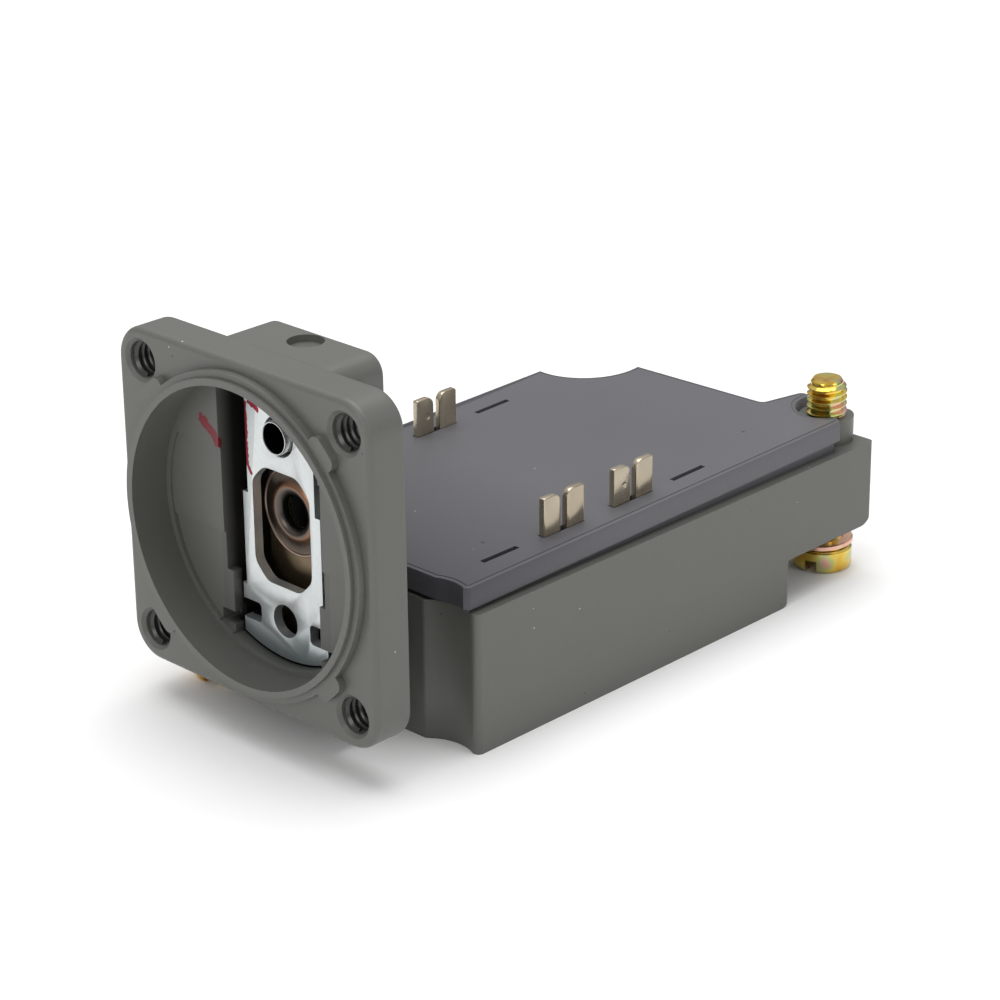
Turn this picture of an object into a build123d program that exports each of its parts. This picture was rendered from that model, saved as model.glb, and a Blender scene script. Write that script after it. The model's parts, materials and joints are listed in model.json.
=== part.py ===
from build123d import *
import math
import os

# Plug-in body of a heavy-duty limit switch: the die-cast half that carries the head flange,
# the contact block and the plug-in terminals. It lies on its front, rear gasket up.
# Millimetres. X runs from the flange face to the far end, Y across, Z up towards the rear.
# The origin is the centre of the four head holes, on the flange face.

# ---- Driving dimensions ----
# Head flange
flange_side = 39.2
flange_thickness = 5.2
flange_corner = 4.0
flange_edge = 0.7
head_hole_pitch = 31.75
head_hole_radius = 2.1
head_hole_mouth_radius = 2.5
bore_radius = 16.9
bore_floor = 3.5
floor_step = 0.25
floor_ledge = 0.7
floor_step_zs = (7.0, -3.0)
rim_height = 1.4
rim_width = 1.5
rim_step = 0.5
rim_tab_width = 4.0
rim_tab_reach = 1.3
rim_tab_corner = 1.0

# Chamber behind the flange, with a blind hole in its top
chamber_width = 18.4
chamber_back = 12.4
chamber_top = 19.4
chamber_corner = 2.4
chamber_wall = 1.4
chamber_roof = 2.6
chamber_floor_z = -20.4
chamber_inset = 2.6
channel_foot_z = -7.4
foot_pocket_half_width = 8.9
foot_pocket_top_z = -12.3
foot_pocket_height = 1.5
top_hole_radius = 2.05
top_hole_depth = 0.8
top_hole_x = 9.6

# Tub that holds the contact block, and the thinner lug block past it
tub_near = 13.4
tub_width = 40.4
tub_far = 67.0
body_far = 82.4
tub_top_z = -7.8
tub_bottom_z = -24.4
lug_under_z = -18.4
tub_wall = 2.4
tub_floor = 2.4
tub_corner = 0.7
tub_end_edge = 1.5
lug_end_edge = 2.0
neck_wall = 3.0
near_scoop_radius = 5.6
near_scoop_inset = 3.4
far_scoop_radius = 6.8
far_scoop_x = 73.5
far_scoop_inset = 1.7

# Captive mounting screws
screw_near_x = 9.3
screw_far_x = 79.35
screw_y = 15.2
screw_radius = 2.413
screw_neck_radius = 1.85
screw_head_radius = 3.6
screw_head_height = 2.8
screw_thread_length = 4.6
screw_slot_width = 1.5
screw_slot_depth = 1.6
screw_slot_turn = 16
screw_tip_chamfer = 0.5
screw_boss_radius = 3.3
screw_boss_z = -4.8
screw_land_length = 2.0
lock_washer_radius = 3.8
lock_washer_thickness = 1.2

# Gasket
gasket_thickness = 3.1
gasket_inset = 0.8
gasket_near = 13.6
gasket_far_right = 75.5
gasket_far_left = 74.3
gasket_arm_far = 77.6
gasket_lobe_far = 80.9
gasket_lobe_near_y = -8.4
gasket_lobe_far_y = -10.1
gasket_corner = 0.9
gasket_flat_end = 36.0
gasket_lift = 1.1
gasket_notch_radius = 3.7

# Plug-in terminals and contacts
terminal_y = 15.6
terminal_centre_x = 38.0
terminal_inner_pitch = 11.4
terminal_outer_pitch = 30.9
terminal_width = 6.4
terminal_slit = 1.0
empty_slot_length = 5.5
empty_slot_width = 0.7
terminal_thickness = 0.8
terminal_tip_z = -0.2
terminal_tip_radius = 1.0
foot_reach_y = 7.6
foot_height = 4.0
foot_bottom_z = -17.6
tip_radius = 1.2
tip_thickness = 0.5
tip_y = 9.2
contact_gap = 2.5
closed_gap = 0.05

# Contact block
block_wall = 1.2
block_floor = 1.6
block_cavity_width = 22.0
cover_thickness = 1.7
block_screw_radius = 1.1
block_screw_head_radius = 1.8
block_screw_head_height = 1.0
block_screw_length = 8.0
block_screw_y = 13.8
block_screw_near_x = 27.4
block_screw_far_x = 60.0

# Plunger, carrier and springs
stroke = 2.2
plunger_z = 0.5
cup_radius = 5.1
cup_front = 7.2
cup_thickness = 0.7
cup_hole_radius = 2.0
cup_ring_radius = 2.5
cup_ring_width = 0.6
cup_ring_height = 0.5
cup_ring_edge = 0.4
bracket_thickness = 0.7
bracket_half_width = 5.1
bracket_bottom_z = -20.0
rod_z = -17.4
rod_radius = 1.6
bushing_radius = 3.0
seal_thickness = 0.8
carrier_near = 19.4
carrier_far = 53.0
carrier_width = 10.0
carrier_bottom_z = -19.8
carrier_top_z = -12.2
bridge_length = 20.8
bridge_height = 3.0
bridge_thickness = 0.8
bridge_spring_length = 3.6
bridge_spring_radius = 1.5
bridge_spring_wire = 0.25
return_spring_radius = 3.0
return_spring_wire = 0.4

# Retaining plate in the bore
plate_front = 5.2
plate_thickness = 1.2
plate_half_width = 5.3
plate_step_half_width = 6.1
plate_step_z = 2.0
plate_foot_half_width = 6.7
plate_foot_top_z = -9.0
plate_radius = 16.2
window_width = 9.0
window_height = 13.4
window_z = -1.0
window_corner = 1.9
window_round = 1.9
plate_upper_hole_z = 9.8
plate_lower_hole_z = -11.7
plate_upper_hole_radius = 2.3
plate_lower_hole_radius = 1.9
plate_notch_width = 3.0
plate_notch_height = 2.3
plate_notch_corner = 0.5
plate_notch_y = 5.4
plate_notch_z = -12.0
plate_nick_radius = 0.9
plate_nick_z = -8.8
post_radius = 3.0
eyelet_radius = 1.9
eyelet_hole_radius = 1.6
eyelet_height = 0.7
foot_rib_y = 5.6
foot_rib_top_z = -13.6
foot_rib_height = 2.0

# ---- Clearances ----
running_clearance = 0.05
pocket_clearance = 0.2
slot_grip = 0.1
slide_clearance = 0.3
screw_head_inset = 0.05

# ---- Derived places ----
channel_half_width = chamber_width / 2 - chamber_wall
chamber_inner_back = chamber_back - chamber_wall
chamber_inner_top = chamber_top - top_hole_depth - chamber_roof
foot_half_width = plate_foot_half_width + pocket_clearance
tub_inner_near = tub_near + neck_wall
tub_inner_far = tub_far - tub_wall
tub_inner_half = tub_width / 2 - tub_wall
tub_inner_floor = tub_bottom_z + tub_floor
block_near = tub_inner_near + pocket_clearance
block_far = tub_inner_far - pocket_clearance
block_half = tub_inner_half - pocket_clearance
block_bottom = tub_inner_floor
cover_top = tub_top_z - running_clearance
cover_bottom = cover_top - cover_thickness
block_cavity_near = block_near + block_wall
block_cavity_far = block_far - block_wall
block_cavity_floor = block_bottom + block_floor
gasket_top_z = tub_top_z + gasket_thickness
gasket_half = tub_width / 2 - gasket_inset
inner_stations = [terminal_centre_x + side * terminal_inner_pitch / 2 for side in (-1, 1)]
outer_stations = [terminal_centre_x + side * terminal_outer_pitch / 2 for side in (-1, 1)]
all_stations = [outer_stations[0]] + inner_stations + [outer_stations[1]]
slot_length = terminal_width + 2 * pocket_clearance
slot_width = terminal_thickness + 2 * pocket_clearance
tight_slot_length = terminal_width + 2 * slot_grip
tight_slot_width = terminal_thickness + 2 * slot_grip
near_scoop_y = near_scoop_inset - tub_width / 2
far_scoop_y = tub_width / 2 - far_scoop_inset
screw_head_bottom = tub_bottom_z + screw_head_inset
screw_head_top = screw_head_bottom + screw_head_height
thread_bottom_z = screw_boss_z + running_clearance
screw_places = {"near": (screw_near_x, screw_y), "far": (screw_far_x, -screw_y)}
plate_back = plate_front + plate_thickness
bracket_front = cup_front + cup_thickness
bracket_back = bracket_front + bracket_thickness
carrier_mid_z = (carrier_bottom_z + carrier_top_z) / 2
bridge_z = foot_bottom_z + foot_height / 2
open_station, closed_station = inner_stations
open_tip_x = open_station - terminal_thickness / 2 - tip_thickness
open_bridge_far = open_tip_x - contact_gap - tip_thickness
closed_tip_x = closed_station + terminal_thickness / 2 + tip_thickness
closed_bridge_near = closed_tip_x + closed_gap + tip_thickness
base_top = cover_bottom
bushing_front = bracket_back + stroke + pocket_clearance
block_screw_xs = (block_screw_near_x, block_screw_far_x)
block_screw_places = [(x, side * block_screw_y) for x in block_screw_xs for side in (1, -1)]

os.makedirs("parts", exist_ok=True)


def save(builder, name):
    builder.part.label = name
    export_step(builder.part, f"parts/{name}.step")


def span(low, high):
    """Middle and length of a stretch."""
    return (low + high) / 2, high - low


def coil(start_x, end_x, centre_z, radius, wire, turns):
    """A helical compression spring along X."""
    length = end_x - start_x - 2 * wire
    path = Helix(pitch=length / turns, height=length, radius=radius - wire)
    place = Plane(origin=(start_x + wire, 0, centre_z), x_dir=(0, 1, 0), z_dir=(1, 0, 0))
    with BuildPart() as spring:
        with BuildLine() as line:
            add(path)
        with BuildSketch(Plane(origin=line.line @ 0, z_dir=line.line % 0)):
            Circle(wire)
        sweep(path=line.line, is_frenet=True)
    return place.location * spring.part


# ---- Housing ----
# tub: straight sides, with a scoop in its near wall for the receptacle's own screw
near_scoop_start = near_scoop_y + math.sqrt(near_scoop_radius**2 - (tub_near - screw_near_x) ** 2)
near_scoop_end_x = screw_near_x + math.sqrt(near_scoop_radius**2 - (tub_width / 2 + near_scoop_y) ** 2)
with BuildPart() as tub:
    with BuildSketch(Plane.XY.offset(tub_bottom_z)):
        with BuildLine():
            left = Line((tub_near, near_scoop_start), (tub_near, tub_width / 2))
            back = Line(left @ 1, (tub_far, tub_width / 2))
            end = Line(back @ 1, (tub_far, -tub_width / 2))
            front = Line(end @ 1, (near_scoop_end_x, -tub_width / 2))
            RadiusArc(front @ 1, left @ 0, -near_scoop_radius)
        make_face()
        fillet(vertices(), tub_corner)
    extrude(amount=tub_top_z - tub_bottom_z)
    with BuildSketch(Plane.XZ.offset(-tub_width)) as tub_side:
        with Locations((0, tub_bottom_z)):
            Rectangle(tub_far, tub_top_z - tub_bottom_z, align=(Align.MIN, Align.MIN))
        fillet(tub_side.vertices().group_by(Axis.Y)[0].sort_by(Axis.X)[-1], tub_end_edge)
    extrude(amount=2 * tub_width, mode=Mode.INTERSECT)

# thinner block past the tub, with a scoop at its far left corner
far_block_side_y = far_scoop_y - far_scoop_radius
far_block_near = tub_far - tub_wall
with BuildPart() as lug_block:
    with BuildSketch(Plane.XY.offset(lug_under_z)):
        with BuildLine():
            front = Line((far_block_near, -tub_width / 2), (body_far, -tub_width / 2))
            end = Line(front @ 1, (body_far, far_block_side_y))
            side = Line(end @ 1, (far_scoop_x, far_block_side_y))
            scoop = CenterArc((far_scoop_x, far_scoop_y), far_scoop_radius, 180, 90)
            join = Line(scoop @ 0, (far_block_near, far_scoop_y))
            Line(join @ 1, front @ 0)
        make_face()
        far_corners = vertices().group_by(Axis.X)[-1]
        fillet(far_corners, tub_corner)
    extrude(amount=tub_top_z - lug_under_z)
    with BuildSketch(Plane.XZ.offset(-tub_width)) as lug_side:
        with Locations((0, lug_under_z)):
            Rectangle(body_far, tub_top_z - lug_under_z, align=(Align.MIN, Align.MIN))
        fillet(lug_side.vertices().group_by(Axis.Y)[0].sort_by(Axis.X)[-1], lug_end_edge)
    extrude(amount=2 * tub_width, mode=Mode.INTERSECT)

with BuildPart() as flange:
    with BuildSketch(Plane.YZ):
        RectangleRounded(flange_side, flange_side, flange_corner)
    extrude(amount=flange_thickness)
    fillet(flange.faces().filter_by(Axis.X).edges(), flange_edge)

with BuildPart() as chamber:
    with BuildSketch(Plane.YZ.offset(flange_thickness - flange_edge)):
        z_mid, z_len = span(tub_bottom_z + chamber_inset, chamber_top)
        with Locations((0, z_mid)):
            Rectangle(chamber_width, z_len)
    extrude(amount=chamber_back - flange_thickness + flange_edge)
    fillet(chamber.edges().filter_by(Axis.X).sort_by(Axis.Z)[-2:], chamber_corner)
    fillet(chamber.faces().sort_by(Axis.X)[-1].edges().sort_by(Axis.Z)[1:], flange_edge)

with BuildPart() as housing:
    add(flange.part)
    add(chamber.part)
    add(tub.part)
    add(lug_block.part)
    # neck that joins the chamber to the tub
    x_mid, x_len = span(flange_thickness - flange_edge, tub_near + tub_wall)
    z_mid, z_len = span(tub_bottom_z + chamber_inset, tub_top_z)
    with Locations((x_mid, 0, z_mid)):
        Box(x_len, chamber_width, z_len)
    # near lug, beside the neck
    y_mid, y_len = span(0, tub_width / 2 - flange_edge)
    z_mid, z_len = span(lug_under_z, tub_top_z)
    with Locations((x_mid, y_mid, z_mid)):
        Box(x_len, y_len, z_len)
    # raised bosses where the screws come out
    for x, y in screw_places.values():
        with BuildSketch(Plane.XY.offset(lug_under_z + screw_land_length)):
            with Locations((x, y)):
                Circle(screw_boss_radius)
            Rectangle(2 * body_far, 2 * tub_width, mode=Mode.INTERSECT)
        extrude(amount=screw_boss_z - lug_under_z - screw_land_length)
    # rim round the bore, in two steps, with four bayonet tabs on the diagonals
    with BuildSketch(Plane.YZ):
        Circle(bore_radius + rim_width)
    extrude(amount=-(rim_height - rim_step))
    with BuildSketch(Plane.YZ):
        Circle(bore_radius + rim_width / 2)
    extrude(amount=-rim_height)
    with BuildSketch(Plane.YZ):
        with PolarLocations(bore_radius + rim_width / 2, 4, start_angle=45):
            RectangleRounded(rim_width + 2 * rim_tab_reach, rim_tab_width, rim_tab_corner)
        Circle(bore_radius + rim_width + rim_tab_reach, mode=Mode.INTERSECT)
    extrude(amount=-(rim_height - rim_step))
    # bore, and the channel in its floor that the chamber opens into
    with BuildSketch(Plane.YZ.offset(-rim_height)):
        Circle(bore_radius)
    extrude(amount=rim_height + bore_floor, mode=Mode.SUBTRACT)
    for step, z in enumerate(floor_step_zs, start=1):
        with BuildSketch(Plane.YZ.offset(bore_floor)):
            with Locations((0, z)):
                Rectangle(2 * bore_radius, 2 * bore_radius, align=(Align.CENTER, Align.MAX))
            Circle(bore_radius - floor_ledge, mode=Mode.INTERSECT)
        extrude(amount=floor_step * step, mode=Mode.SUBTRACT)
    with BuildSketch(Plane.YZ.offset(bore_floor)):
        with Locations((0, channel_foot_z)):
            Rectangle(2 * channel_half_width, 2 * bore_radius, align=(Align.CENTER, Align.MIN))
            Rectangle(2 * foot_half_width, 2 * bore_radius, align=(Align.CENTER, Align.MAX))
        with Locations((0, foot_pocket_top_z)):
            Rectangle(2 * foot_pocket_half_width, foot_pocket_height, align=(Align.CENTER, Align.MAX))
        Circle(plate_radius + pocket_clearance, mode=Mode.INTERSECT)
    extrude(amount=plate_back - bore_floor, mode=Mode.SUBTRACT)
    x_mid, x_len = span(flange_thickness, chamber_inner_back)
    z_mid, z_len = span(chamber_floor_z, chamber_inner_top)
    with Locations((x_mid, 0, z_mid)):
        Box(x_len, 2 * channel_half_width, z_len, mode=Mode.SUBTRACT)
    # post and two foot ribs that the retaining plate sits on
    with BuildSketch(Plane.YZ.offset(plate_back)):
        with Locations((0, plate_upper_hole_z)):
            Circle(post_radius)
        y_mid, y_len = span(foot_rib_y, channel_half_width + chamber_wall / 2)
        foot_rib_z = foot_rib_top_z - foot_rib_height / 2
        with Locations((y_mid, foot_rib_z), (-y_mid, foot_rib_z)):
            Rectangle(y_len, foot_rib_height)
    extrude(amount=chamber_inner_back - plate_back + chamber_wall / 2)
    with BuildSketch(Plane.YZ.offset(plate_back)):
        with Locations((0, plate_upper_hole_z)):
            Circle(eyelet_radius)
    extrude(amount=chamber_inner_back - plate_back, mode=Mode.SUBTRACT)
    # tub cavity and the bore for the rod's bushing
    x_mid, x_len = span(tub_inner_near, tub_inner_far)
    z_mid, z_len = span(tub_inner_floor, tub_top_z)
    with Locations((x_mid, 0, z_mid)):
        Box(x_len, 2 * tub_inner_half, z_len, mode=Mode.SUBTRACT)
    with BuildSketch(Plane.YZ.offset(chamber_inner_back)):
        with Locations((0, rod_z)):
            Circle(bushing_radius)
    extrude(amount=tub_inner_near - chamber_inner_back, mode=Mode.SUBTRACT)
    # screw holes: wide from below, a short land at the top that keeps the thread from dropping
    for x, y in screw_places.values():
        with BuildSketch(Plane.XY.offset(lug_under_z)):
            with Locations((x, y)):
                Circle(screw_radius + slide_clearance)
        extrude(amount=screw_boss_z - screw_land_length - lug_under_z, mode=Mode.SUBTRACT)
        with BuildSketch(Plane.XY.offset(lug_under_z)):
            with Locations((x, y)):
                Circle(screw_neck_radius + slide_clearance)
        extrude(amount=screw_boss_z - lug_under_z, mode=Mode.SUBTRACT)
    # head screw holes, countersunk
    with BuildSketch(Plane.YZ):
        with GridLocations(head_hole_pitch, head_hole_pitch, 2, 2):
            Circle(head_hole_radius)
    extrude(amount=flange_thickness, mode=Mode.SUBTRACT)
    mouth_edges = housing.faces().filter_by(Axis.X).edges().filter_by(GeomType.CIRCLE)
    mouths = [e for e in mouth_edges if abs(e.radius - head_hole_radius) < 1e-6 and abs(e.center().X) < 1e-6]
    chamfer(mouths, head_hole_mouth_radius - head_hole_radius)
    # blind hole in the chamber's top
    with BuildSketch(Plane.XY.offset(chamber_top)):
        with Locations((top_hole_x, 0)):
            Circle(top_hole_radius)
    extrude(amount=-top_hole_depth, mode=Mode.SUBTRACT)
save(housing, "housing")

# ---- Gasket: moulded rubber, its far end sprung up ----
with BuildSketch() as gasket_outline:
    with BuildLine():
        Polyline(
            (gasket_near, -gasket_half),
            (gasket_arm_far, -gasket_half),
            (gasket_arm_far, -screw_y),
            (gasket_lobe_far, -screw_y),
            (gasket_lobe_far, gasket_lobe_far_y),
            (gasket_far_right, gasket_lobe_near_y),
            (gasket_far_left, gasket_half),
            (gasket_near, gasket_half),
            close=True,
        )
    make_face()
    fillet(gasket_outline.vertices(), gasket_corner)
    with Locations((screw_far_x, -screw_y)):
        Circle(gasket_notch_radius, mode=Mode.SUBTRACT)
        Rectangle(body_far, gasket_notch_radius, align=(Align.MIN, Align.MIN), mode=Mode.SUBTRACT)
    with Locations((screw_near_x, near_scoop_y)):
        Circle(near_scoop_radius - gasket_inset, mode=Mode.SUBTRACT)
    with Locations((far_scoop_x, far_scoop_y)):
        Circle(far_scoop_radius + gasket_inset, mode=Mode.SUBTRACT)
    with Locations((far_scoop_x, far_block_side_y)):
        Rectangle(body_far, tub_width, align=(Align.MIN, Align.MIN), mode=Mode.SUBTRACT)

with BuildPart() as gasket:
    with BuildSketch(Plane.XZ.offset(-tub_width)):
        with BuildLine():
            low_flat = Line((0, tub_top_z), (gasket_flat_end, tub_top_z))
            low_rise = TangentArc(low_flat @ 1, (body_far, tub_top_z + gasket_lift), tangent=(1, 0))
            far_side = Line(low_rise @ 1, low_rise @ 1 + Vector(0, gasket_thickness))
            top_flat = Line((gasket_flat_end, gasket_top_z), (0, gasket_top_z))
            TangentArc(top_flat @ 0, far_side @ 1, tangent=(1, 0))
            Line(top_flat @ 1, low_flat @ 0)
        make_face()
    extrude(amount=2 * tub_width)
    with BuildSketch(Plane.XY.offset(tub_top_z)):
        add(gasket_outline.sketch)
        for x in inner_stations:
            with Locations((x, terminal_y), (x, -terminal_y)):
                Rectangle(tight_slot_length, tight_slot_width, mode=Mode.SUBTRACT)
        for x in outer_stations:
            with Locations((x, terminal_y), (x, -terminal_y)):
                Rectangle(empty_slot_length, empty_slot_width, mode=Mode.SUBTRACT)
    extrude(amount=gasket_thickness + 2 * gasket_lift, mode=Mode.INTERSECT)
save(gasket, "gasket")

# ---- Retaining plate in the bore ----
with BuildSketch() as window:
    with Locations((0, window_z)):
        Rectangle(window_width, window_height)
    chamfer(window.vertices(), window_corner)
    fillet(window.vertices(), window_round)

with BuildPart() as retaining_plate:
    with BuildSketch(Plane.YZ.offset(plate_front)):
        Rectangle(2 * plate_half_width, 2 * plate_radius)
        z_mid, z_len = span(-plate_radius, plate_step_z)
        with Locations((0, z_mid)):
            Rectangle(2 * plate_step_half_width, z_len)
        z_mid, z_len = span(-plate_radius, plate_foot_top_z)
        with Locations((0, z_mid)):
            Rectangle(2 * plate_foot_half_width, z_len)
        Circle(plate_radius, mode=Mode.INTERSECT)
        add(window.sketch, mode=Mode.SUBTRACT)
        with Locations((0, plate_upper_hole_z)):
            Circle(plate_upper_hole_radius, mode=Mode.SUBTRACT)
        with Locations((0, plate_lower_hole_z)):
            Circle(plate_lower_hole_radius, mode=Mode.SUBTRACT)
        with Locations((plate_notch_y, plate_notch_z), (-plate_notch_y, plate_notch_z)):
            RectangleRounded(plate_notch_width, plate_notch_height, plate_notch_corner, mode=Mode.SUBTRACT)
        with Locations((-plate_foot_half_width, plate_nick_z)):
            Circle(plate_nick_radius, mode=Mode.SUBTRACT)
    extrude(amount=plate_thickness)
save(retaining_plate, "retaining_plate")

# thin tube that pins the plate's upper end to its post and stands proud of it
with BuildPart() as plate_eyelet:
    with BuildSketch(Plane.YZ.offset(plate_front - eyelet_height)):
        with Locations((0, plate_upper_hole_z)):
            Circle(eyelet_radius)
            Circle(eyelet_hole_radius, mode=Mode.SUBTRACT)
    extrude(amount=chamber_inner_back - plate_front + eyelet_height)
save(plate_eyelet, "plate_eyelet")

# ---- Plunger: washer, formed ring, push bracket and rod ----
with BuildPart() as plunger_washer:
    with BuildSketch(Plane.YZ.offset(cup_front)):
        with Locations((0, plunger_z)):
            Circle(cup_radius)
            Circle(cup_ring_radius, mode=Mode.SUBTRACT)
    extrude(amount=cup_thickness)
save(plunger_washer, "plunger_washer")

with BuildPart() as plunger_eyelet:
    with BuildSketch(Plane.YZ.offset(cup_front - cup_ring_height)):
        with Locations((0, plunger_z)):
            Circle(cup_ring_radius + cup_ring_width)
    extrude(amount=cup_ring_height)
    fillet(plunger_eyelet.faces().sort_by(Axis.X)[0].edges(), cup_ring_edge)
    with BuildSketch(Plane.YZ.offset(cup_front)):
        with Locations((0, plunger_z)):
            Circle(cup_ring_radius)
    extrude(amount=cup_thickness)
    with BuildSketch(Plane.YZ.offset(cup_front - cup_ring_height)):
        with Locations((0, plunger_z)):
            Circle(cup_hole_radius)
    extrude(amount=cup_ring_height + cup_thickness, mode=Mode.SUBTRACT)
save(plunger_eyelet, "plunger_eyelet")

with BuildPart() as push_bracket:
    with BuildSketch(Plane.YZ.offset(bracket_front)):
        z_mid, z_len = span(bracket_bottom_z, plunger_z)
        with Locations((0, z_mid)):
            Rectangle(2 * bracket_half_width, z_len)
        with Locations((0, plunger_z)):
            Circle(bracket_half_width)
            Circle(cup_hole_radius, mode=Mode.SUBTRACT)
    extrude(amount=bracket_thickness)
save(push_bracket, "push_bracket")

with BuildPart() as push_rod:
    with BuildSketch(Plane.YZ.offset(bracket_back)):
        with Locations((0, rod_z)):
            Circle(rod_radius)
    extrude(amount=carrier_near - bracket_back)
save(push_rod, "push_rod")

with BuildPart() as rod_bushing:
    with BuildSketch(Plane.YZ.offset(bushing_front)):
        with Locations((0, rod_z)):
            Circle(bushing_radius)
            Circle(rod_radius + running_clearance, mode=Mode.SUBTRACT)
    extrude(amount=tub_inner_near - seal_thickness - bushing_front)
save(rod_bushing, "rod_bushing")

with BuildPart() as rod_seal:
    with BuildSketch(Plane.YZ.offset(tub_inner_near - seal_thickness)):
        with Locations((0, rod_z)):
            Circle(bushing_radius)
            Circle(rod_radius + running_clearance, mode=Mode.SUBTRACT)
    extrude(amount=seal_thickness)
save(rod_seal, "rod_seal")

# ---- Contact block ----
with BuildPart() as contact_block:
    x_mid, x_len = span(block_near, block_far)
    z_mid, z_len = span(block_bottom, base_top)
    with Locations((x_mid, 0, z_mid)):
        Box(x_len, 2 * block_half, z_len)
    cavity_mid, cavity_len = span(block_cavity_near, block_cavity_far)
    z_mid, z_len = span(block_cavity_floor, base_top)
    with Locations((cavity_mid, 0, z_mid)):
        Box(cavity_len, block_cavity_width, z_len, mode=Mode.SUBTRACT)
    # pockets for the terminals, open to the cavity
    z_mid, z_len = span(foot_bottom_z - pocket_clearance, base_top)
    y_mid, y_len = span(0, terminal_y + terminal_thickness / 2 + pocket_clearance)
    for x in inner_stations:
        for side in (1, -1):
            with Locations((x, side * y_mid, z_mid)):
                Box(slot_length, y_len, z_len, mode=Mode.SUBTRACT)
    with BuildSketch(Plane.YZ.offset(block_near)):
        with Locations((0, rod_z)):
            Circle(rod_radius + slide_clearance)
    extrude(amount=block_wall, mode=Mode.SUBTRACT)
    with BuildSketch(Plane.XY.offset(base_top)):
        with Locations(block_screw_places):
            Circle(block_screw_radius)
    extrude(amount=-block_screw_length, mode=Mode.SUBTRACT)
save(contact_block, "contact_block")

with BuildPart() as contact_block_cover:
    with BuildSketch(Plane.XY.offset(cover_bottom)):
        x_mid, x_len = span(block_near, block_far)
        with Locations((x_mid, 0)):
            Rectangle(x_len, 2 * block_half)
        for x in all_stations:
            with Locations((x, terminal_y), (x, -terminal_y)):
                Rectangle(slot_length, slot_width, mode=Mode.SUBTRACT)
        with Locations(block_screw_places):
            Circle(block_screw_radius + pocket_clearance, mode=Mode.SUBTRACT)
    extrude(amount=cover_thickness)
    with BuildSketch(Plane.XY.offset(cover_top)):
        with Locations(block_screw_places):
            Circle(block_screw_head_radius + pocket_clearance)
    extrude(amount=-block_screw_head_height, mode=Mode.SUBTRACT)
save(contact_block_cover, "contact_block_cover")

with BuildPart() as block_screws:
    with BuildSketch(Plane.XY.offset(cover_top)):
        with Locations(block_screw_places):
            Circle(block_screw_head_radius)
    extrude(amount=-block_screw_head_height)
    with BuildSketch(Plane.XY.offset(cover_top)):
        with Locations(block_screw_places):
            Circle(block_screw_radius)
    extrude(amount=-block_screw_length)
    with BuildSketch(Plane.XY.offset(cover_top)):
        with Locations(block_screw_places):
            Rectangle(2 * block_screw_head_radius, block_screw_radius / 2)
    extrude(amount=-block_screw_head_height / 2, mode=Mode.SUBTRACT)
save(block_screws, "block_screws")


# ---- Terminals: a forked blade above the gasket, a foot with a contact tip below ----
def terminal(x, side):
    y = side * terminal_y
    with BuildPart() as blade:
        with BuildSketch(Plane.XZ.offset(-y)):
            z_mid, z_len = span(foot_bottom_z, terminal_tip_z)
            with Locations((x, z_mid)):
                Rectangle(terminal_width, z_len)
            z_mid, z_len = span(gasket_top_z, terminal_tip_z)
            with Locations((x, z_mid)):
                Rectangle(terminal_slit, z_len, mode=Mode.SUBTRACT)
        extrude(amount=terminal_thickness / 2, both=True)
        fillet(blade.edges().filter_by(Axis.Y).group_by(Axis.Z)[-1], terminal_tip_radius)
        y_mid, y_len = span(foot_reach_y, terminal_y)
        with Locations((x, side * y_mid, bridge_z)):
            Box(terminal_thickness, y_len, foot_height)
    return blade


def contact_tip(x, y):
    with BuildPart() as tip:
        with BuildSketch(Plane.YZ.offset(x)):
            with Locations((y, bridge_z)):
                Circle(tip_radius)
        extrude(amount=tip_thickness)
    return tip


stations = {"open": open_station, "closed": closed_station}
for circuit, x in stations.items():
    for side_name, side in (("left", 1), ("right", -1)):
        save(terminal(x, side), f"terminal_{circuit}_{side_name}")

fixed_tip_x = {"open": open_tip_x, "closed": closed_tip_x - tip_thickness}
moving_tip_x = {"open": open_bridge_far, "closed": closed_tip_x + closed_gap}
bridge_x = {"open": open_bridge_far - bridge_thickness, "closed": closed_bridge_near}
for circuit in stations:
    with BuildPart() as fixed_tips:
        for side in (1, -1):
            add(contact_tip(fixed_tip_x[circuit], side * tip_y).part)
    save(fixed_tips, f"fixed_contacts_{circuit}")
    with BuildPart() as moving_tips:
        for side in (1, -1):
            add(contact_tip(moving_tip_x[circuit], side * tip_y).part)
    save(moving_tips, f"moving_contacts_{circuit}")
    with BuildPart() as bridge:
        x_mid, x_len = span(bridge_x[circuit], bridge_x[circuit] + bridge_thickness)
        with Locations((x_mid, 0, bridge_z)):
            Box(x_len, bridge_length, bridge_height)
    save(bridge, f"contact_bridge_{circuit}")

# ---- Contact carrier, with a window for each bridge and its spring ----
window_spans = {
    "open": (bridge_x["open"] - bridge_spring_length, bridge_x["open"] + bridge_thickness),
    "closed": (bridge_x["closed"], bridge_x["closed"] + bridge_thickness + bridge_spring_length),
}
with BuildPart() as contact_carrier:
    x_mid, x_len = span(carrier_near, carrier_far)
    with Locations((x_mid, 0, carrier_mid_z)):
        Box(x_len, carrier_width, carrier_top_z - carrier_bottom_z)
    for low, high in window_spans.values():
        x_mid, x_len = span(low, high)
        with Locations((x_mid, 0, bridge_z)):
            Box(x_len, carrier_width, bridge_height + 2 * running_clearance, mode=Mode.SUBTRACT)
save(contact_carrier, "contact_carrier")

spring_starts = {
    "open": window_spans["open"][0],
    "closed": bridge_x["closed"] + bridge_thickness,
}
for circuit, start in spring_starts.items():
    spring = coil(start, start + bridge_spring_length, bridge_z, bridge_spring_radius, bridge_spring_wire, 4)
    spring.label = f"bridge_spring_{circuit}"
    export_step(spring, f"parts/bridge_spring_{circuit}.step")

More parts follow.
